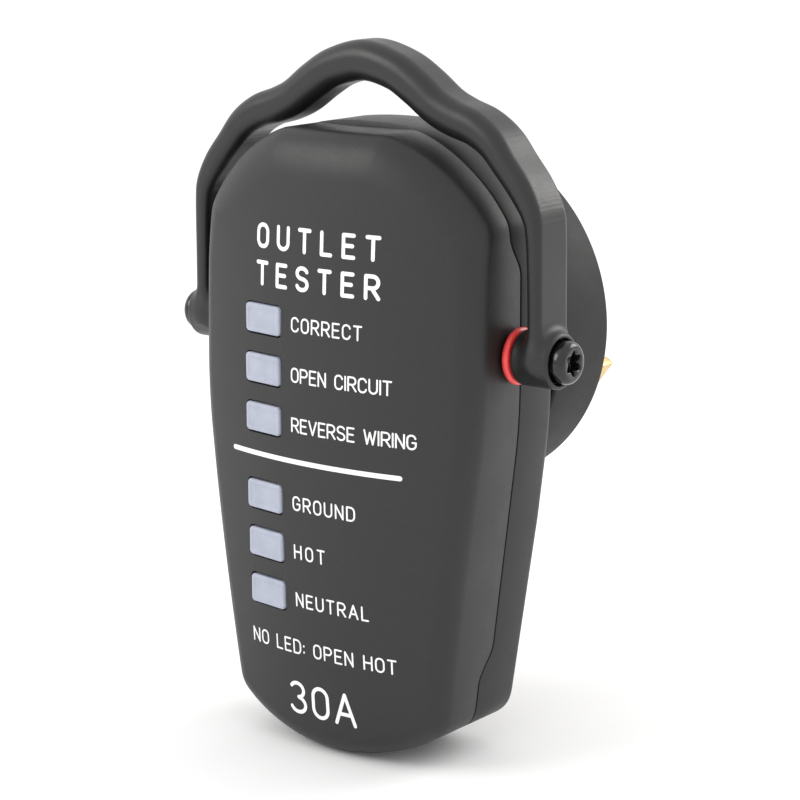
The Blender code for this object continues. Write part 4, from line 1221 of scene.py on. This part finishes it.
def red_plastic(name):
    colours = ((0.3, (0.80, 0.045, 0.045)), (0.5, (0.88, 0.06, 0.058)), (0.7, (0.93, 0.08, 0.075)))
    return clear_plastic(name, 2.4, 0.2, colours, (0.26, 0.38), (0.1, (1.0, 0.2, 0.15), 0.0008),
                         (0.25, 0.15), 0.012)


def metal(name, dark, middle, light, rough, along, streak=0.35, depth=0.006):
    """Metal with fine drawn streaks along one axis and soft tarnish."""
    n = Nodes(name)
    stretch = [1.0, 1.0, 1.0]
    stretch[along] = 0.06
    lines = n.noise(streak, 4.0, 0.7, n.stretched(*stretch))
    stain = n.noise(4.0, 4.0, 0.6, distortion=0.8)
    colour = n.ramp(n.math('ADD', n.math('MULTIPLY', stain, 0.7), n.math('MULTIPLY', lines, 0.3)),
                    ((0.34, dark), (0.5, middle), (0.66, light)))
    roughness = n.math('ADD', n.span(lines, 0.3, 0.7, rough - 0.07, rough + 0.1),
                       n.span(stain, 0.4, 0.8, 0.0, 0.08))
    n.set(Base_Color=colour, Roughness=roughness, Metallic=1.0, Normal=n.bump(lines, depth))
    return n.material


def black_oxide(name):
    """Glossy blackened steel for the pivot screws."""
    n = Nodes(name)
    cloud = n.noise(1.6, 4.0, 0.6)
    fine = n.noise(0.14, 3.0, 0.6)
    colour = n.ramp(cloud, ((0.35, grey(0.003)), (0.55, grey(0.006)), (0.75, grey(0.014))))
    n.set(Base_Color=colour, Metallic=0.0, Roughness=n.span(fine, 0.3, 0.7, 0.10, 0.18),
          Specular_IOR_Level=0.45, Coat_Weight=0.2, Coat_Roughness=0.06,
          Normal=n.bump(fine, 0.012))
    return n.material


def ink(name):
    """White pad-printed ink, a little thin in places."""
    n = Nodes(name)
    thin = n.noise(0.5, 3.0, 0.6)
    fine = n.noise(0.12, 2.0, 0.5)
    colour = n.ramp(thin, ((0.28, (0.66, 0.66, 0.67)), (0.42, (0.83, 0.83, 0.83)),
                           (0.7, (0.9, 0.9, 0.89))))
    n.set(Base_Color=colour, Roughness=n.span(fine, 0.3, 0.7, 0.45, 0.6),
          Normal=n.bump(fine, 0.01))
    return n.material


def mottled(name, colours, rough, size=0.6, metallic=0.0, depth=0.02):
    """A speckled finish for small inner parts."""
    n = Nodes(name)
    spots = n.noise(size, 4.0, 0.6)
    wide = n.noise(size * 8, 3.0, 0.5)
    blend = n.math('ADD', n.math('MULTIPLY', spots, 0.5), n.math('MULTIPLY', wide, 0.5))
    colour = n.ramp(blend, tuple(zip((0.38, 0.5, 0.62), colours)))
    n.set(Base_Color=colour, Metallic=metallic,
          Roughness=n.span(spots, 0.3, 0.7, rough - 0.06, rough + 0.08),
          Normal=n.bump(spots, depth))
    return n.material


def inner_materials():
    """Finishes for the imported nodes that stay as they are, by material slot."""
    return {
        "insert_brass": metal("insert_brass_fine", (0.42, 0.26, 0.09), (0.6, 0.42, 0.17),
                              (0.72, 0.54, 0.26), 0.3, 0),
        "screw_steel": metal("screw_steel_fine", grey(0.32), grey(0.46), grey(0.6), 0.34, 1),
        "board_green": mottled("board_green_fine", ((0.008, 0.07, 0.03), (0.015, 0.11, 0.05),
                                                    (0.03, 0.17, 0.08)), 0.4),
        "frame_white": mottled("frame_white_fine", ((0.6, 0.6, 0.58), (0.7, 0.7, 0.68),
                                                    (0.78, 0.78, 0.76)), 0.55),
        "lamp_clear": mottled("lamp_clear_fine", ((0.62, 0.64, 0.66), (0.74, 0.76, 0.78),
                                                  (0.85, 0.86, 0.88)), 0.16, 1.5),
        "resistor_blue": mottled("resistor_blue_fine", ((0.08, 0.22, 0.34), (0.12, 0.3, 0.44),
                                                        (0.18, 0.38, 0.52)), 0.42),
        "capacitor_yellow": mottled("capacitor_yellow_fine", ((0.5, 0.28, 0.03), (0.62, 0.38, 0.05),
                                                              (0.7, 0.46, 0.08)), 0.42),
        "surge_disc_blue": mottled("surge_disc_blue_fine", ((0.02, 0.05, 0.26), (0.04, 0.09, 0.38),
                                                            (0.07, 0.14, 0.5)), 0.34),
        "terminal_tin": metal("terminal_tin_fine", grey(0.4), grey(0.55), grey(0.68), 0.36, 1),
        "wire_green": mottled("wire_green_fine", ((0.01, 0.16, 0.04), (0.02, 0.23, 0.06),
                                                  (0.04, 0.32, 0.09)), 0.46),
        "wire_black": mottled("wire_black_fine", (grey(0.01), grey(0.018), grey(0.03)), 0.46),
        "wire_white": mottled("wire_white_fine", (grey(0.6), grey(0.7), grey(0.78)), 0.46),
    }


def finish_cad_nodes():
    """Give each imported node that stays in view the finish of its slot."""
    finishes = inner_materials()
    for name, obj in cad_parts.items():
        if obj.hide_render:
            continue
        for place in obj.material_slots:
            base = place.material.name.split(".")[0]
            if base in finishes:
                place.material = finishes[base]
            else:
                print("no finish for", name, base)


# ---------------------------------------------------------------- studio

def area_light(name, location, target, size, power, colour=(1.0, 1.0, 1.0)):
    data = bpy.data.lights.new(name, 'AREA')
    data.shape = 'RECTANGLE'
    data.size = size[0]
    data.size_y = size[1]
    data.energy = power
    data.color = colour
    obj = bpy.data.objects.new(name, data)
    bpy.context.collection.objects.link(obj)
    obj.location = location
    direction = Vector(target) - Vector(location)
    obj.rotation_euler = direction.to_track_quat('-Z', 'Y').to_euler()
    return obj


def build_floor():
    """A broad, flat, pale round floor just under the case."""
    n = Nodes("studio_floor")
    soft = n.noise(60.0, 3.0, 0.5)
    fine = n.noise(0.8, 3.0, 0.6)
    n.set(Base_Color=n.ramp(soft, ((0.3, grey(0.90)), (0.7, grey(0.93)))),
          Roughness=n.span(fine, 0.3, 0.7, 0.75, 0.9), Specular_IOR_Level=0.1)
    bm = bmesh.new()
    low = BOTTOM_Z * MM - 0.0004
    rows = []
    for k in range(33):
        radius = 0.001 + 14.0 * (k / 32) ** 2
        rows.append([bm.verts.new((radius * math.cos(math.tau * i / 64),
                                   radius * math.sin(math.tau * i / 64), low)) for i in range(64)])
    for here, there in zip(rows, rows[1:]):
        for i in range(64):
            j = (i + 1) % 64
            bm.faces.new((here[i], here[j], there[j], there[i]))
    bm.faces.new(rows[0])
    mesh = bpy.data.meshes.new("floor")
    bm.to_mesh(mesh)
    bm.free()
    mesh.materials.append(n.material)
    obj = bpy.data.objects.new("floor", mesh)
    bpy.context.collection.objects.link(obj)


def build_world(strength):
    world = bpy.data.worlds.new("studio")
    bpy.context.scene.world = world
    world.use_nodes = True
    back = world.node_tree.nodes["Background"]
    back.inputs["Color"].default_value = (1.0, 1.0, 1.0, 1.0)
    back.inputs["Strength"].default_value = strength


CAMERA_ANGLES = (38.13, 12.69, 0.27)        # azimuth, elevation and roll in degrees
CAMERA_LENS = 112.5
CAMERA_PLACE = (0.30605, -0.41221, 0.09594)
SOFTBOX_DISTANCE = 0.9


def build_camera():
    """Camera at the chosen angle: 38 degrees round to the right and 12.7 degrees above."""
    azimuth, elevation, roll = (math.radians(angle) for angle in CAMERA_ANGLES)
    right = Vector((math.cos(azimuth), math.sin(azimuth), 0.0))
    up = Vector((-math.sin(azimuth) * math.sin(elevation),
                 math.cos(azimuth) * math.sin(elevation), math.cos(elevation)))
    back = right.cross(up)
    turned_right = right * math.cos(roll) - up * math.sin(roll)
    turned_up = right * math.sin(roll) + up * math.cos(roll)
    data = bpy.data.cameras.new("camera")
    data.lens = CAMERA_LENS
    data.sensor_width = 36.0
    data.clip_start = 0.01
    data.clip_end = 60.0
    obj = bpy.data.objects.new("camera", data)
    bpy.context.collection.objects.link(obj)
    obj.matrix_world = Matrix((
        (turned_right.x, turned_up.x, back.x, CAMERA_PLACE[0]),
        (turned_right.y, turned_up.y, back.y, CAMERA_PLACE[1]),
        (turned_right.z, turned_up.z, back.z, CAMERA_PLACE[2]),
        (0.0, 0.0, 0.0, 1.0)))
    bpy.context.scene.camera = obj


def softbox(name, direction, distance, size, radiance, colour=(1.0, 1.0, 1.0)):
    """A rectangular light seen from the object along `direction`, with a chosen brightness."""
    middle = Vector((0.0, -0.03, -0.015))
    power = radiance * math.pi * size[0] * size[1]
    area_light(name, middle + Vector(direction).normalized() * distance, middle, size, power, colour)


def build_lights():
    warm = (1.0, 0.985, 0.965)
    softbox("key_left_front", (-0.50, -0.66, 0.50), SOFTBOX_DISTANCE, (0.5, 0.42), 4.2, warm)
    softbox("back_right_up", (0.43, 0.77, 0.46), SOFTBOX_DISTANCE, (0.5, 0.4), 4.6, warm)


# ---------------------------------------------------------------- assembly

CASE_PLASTIC = black_plastic("case_plastic", 0.011, 0.45, 0.30, 0.028)
HANDLE_PLASTIC = black_plastic("handle_plastic", 0.011, 0.38, 0.28, 0.018, 0.35)
PLUG_PLASTIC = black_plastic("plug_plastic", 0.012, 0.62, 0.34, 0.030, 0.5, 0.38)
BRASS = metal("contact_brass", (0.46, 0.28, 0.10), (0.66, 0.46, 0.20), (0.78, 0.6, 0.32), 0.26, 1)
STEEL = metal("fastener_steel", grey(0.3), grey(0.45), grey(0.6), 0.32, 1)

build_front_shell(CASE_PLASTIC)
build_rear_shell(CASE_PLASTIC)
build_lenses(lens_plastic("lens_milky"))
build_handle(HANDLE_PLASTIC)
build_handle_screws(black_oxide("screw_oxide"))
build_rings(red_plastic("ring_plastic"))
build_barrel(PLUG_PLASTIC)
build_plate(PLUG_PLASTIC)
build_contacts(BRASS)
build_small_screws(STEEL)
build_printing(ink("print_ink"))
finish_cad_nodes()

build_floor()
build_world(1.12)
build_lights()
build_camera()
bpy.context.scene.view_settings.view_transform = 'Standard'
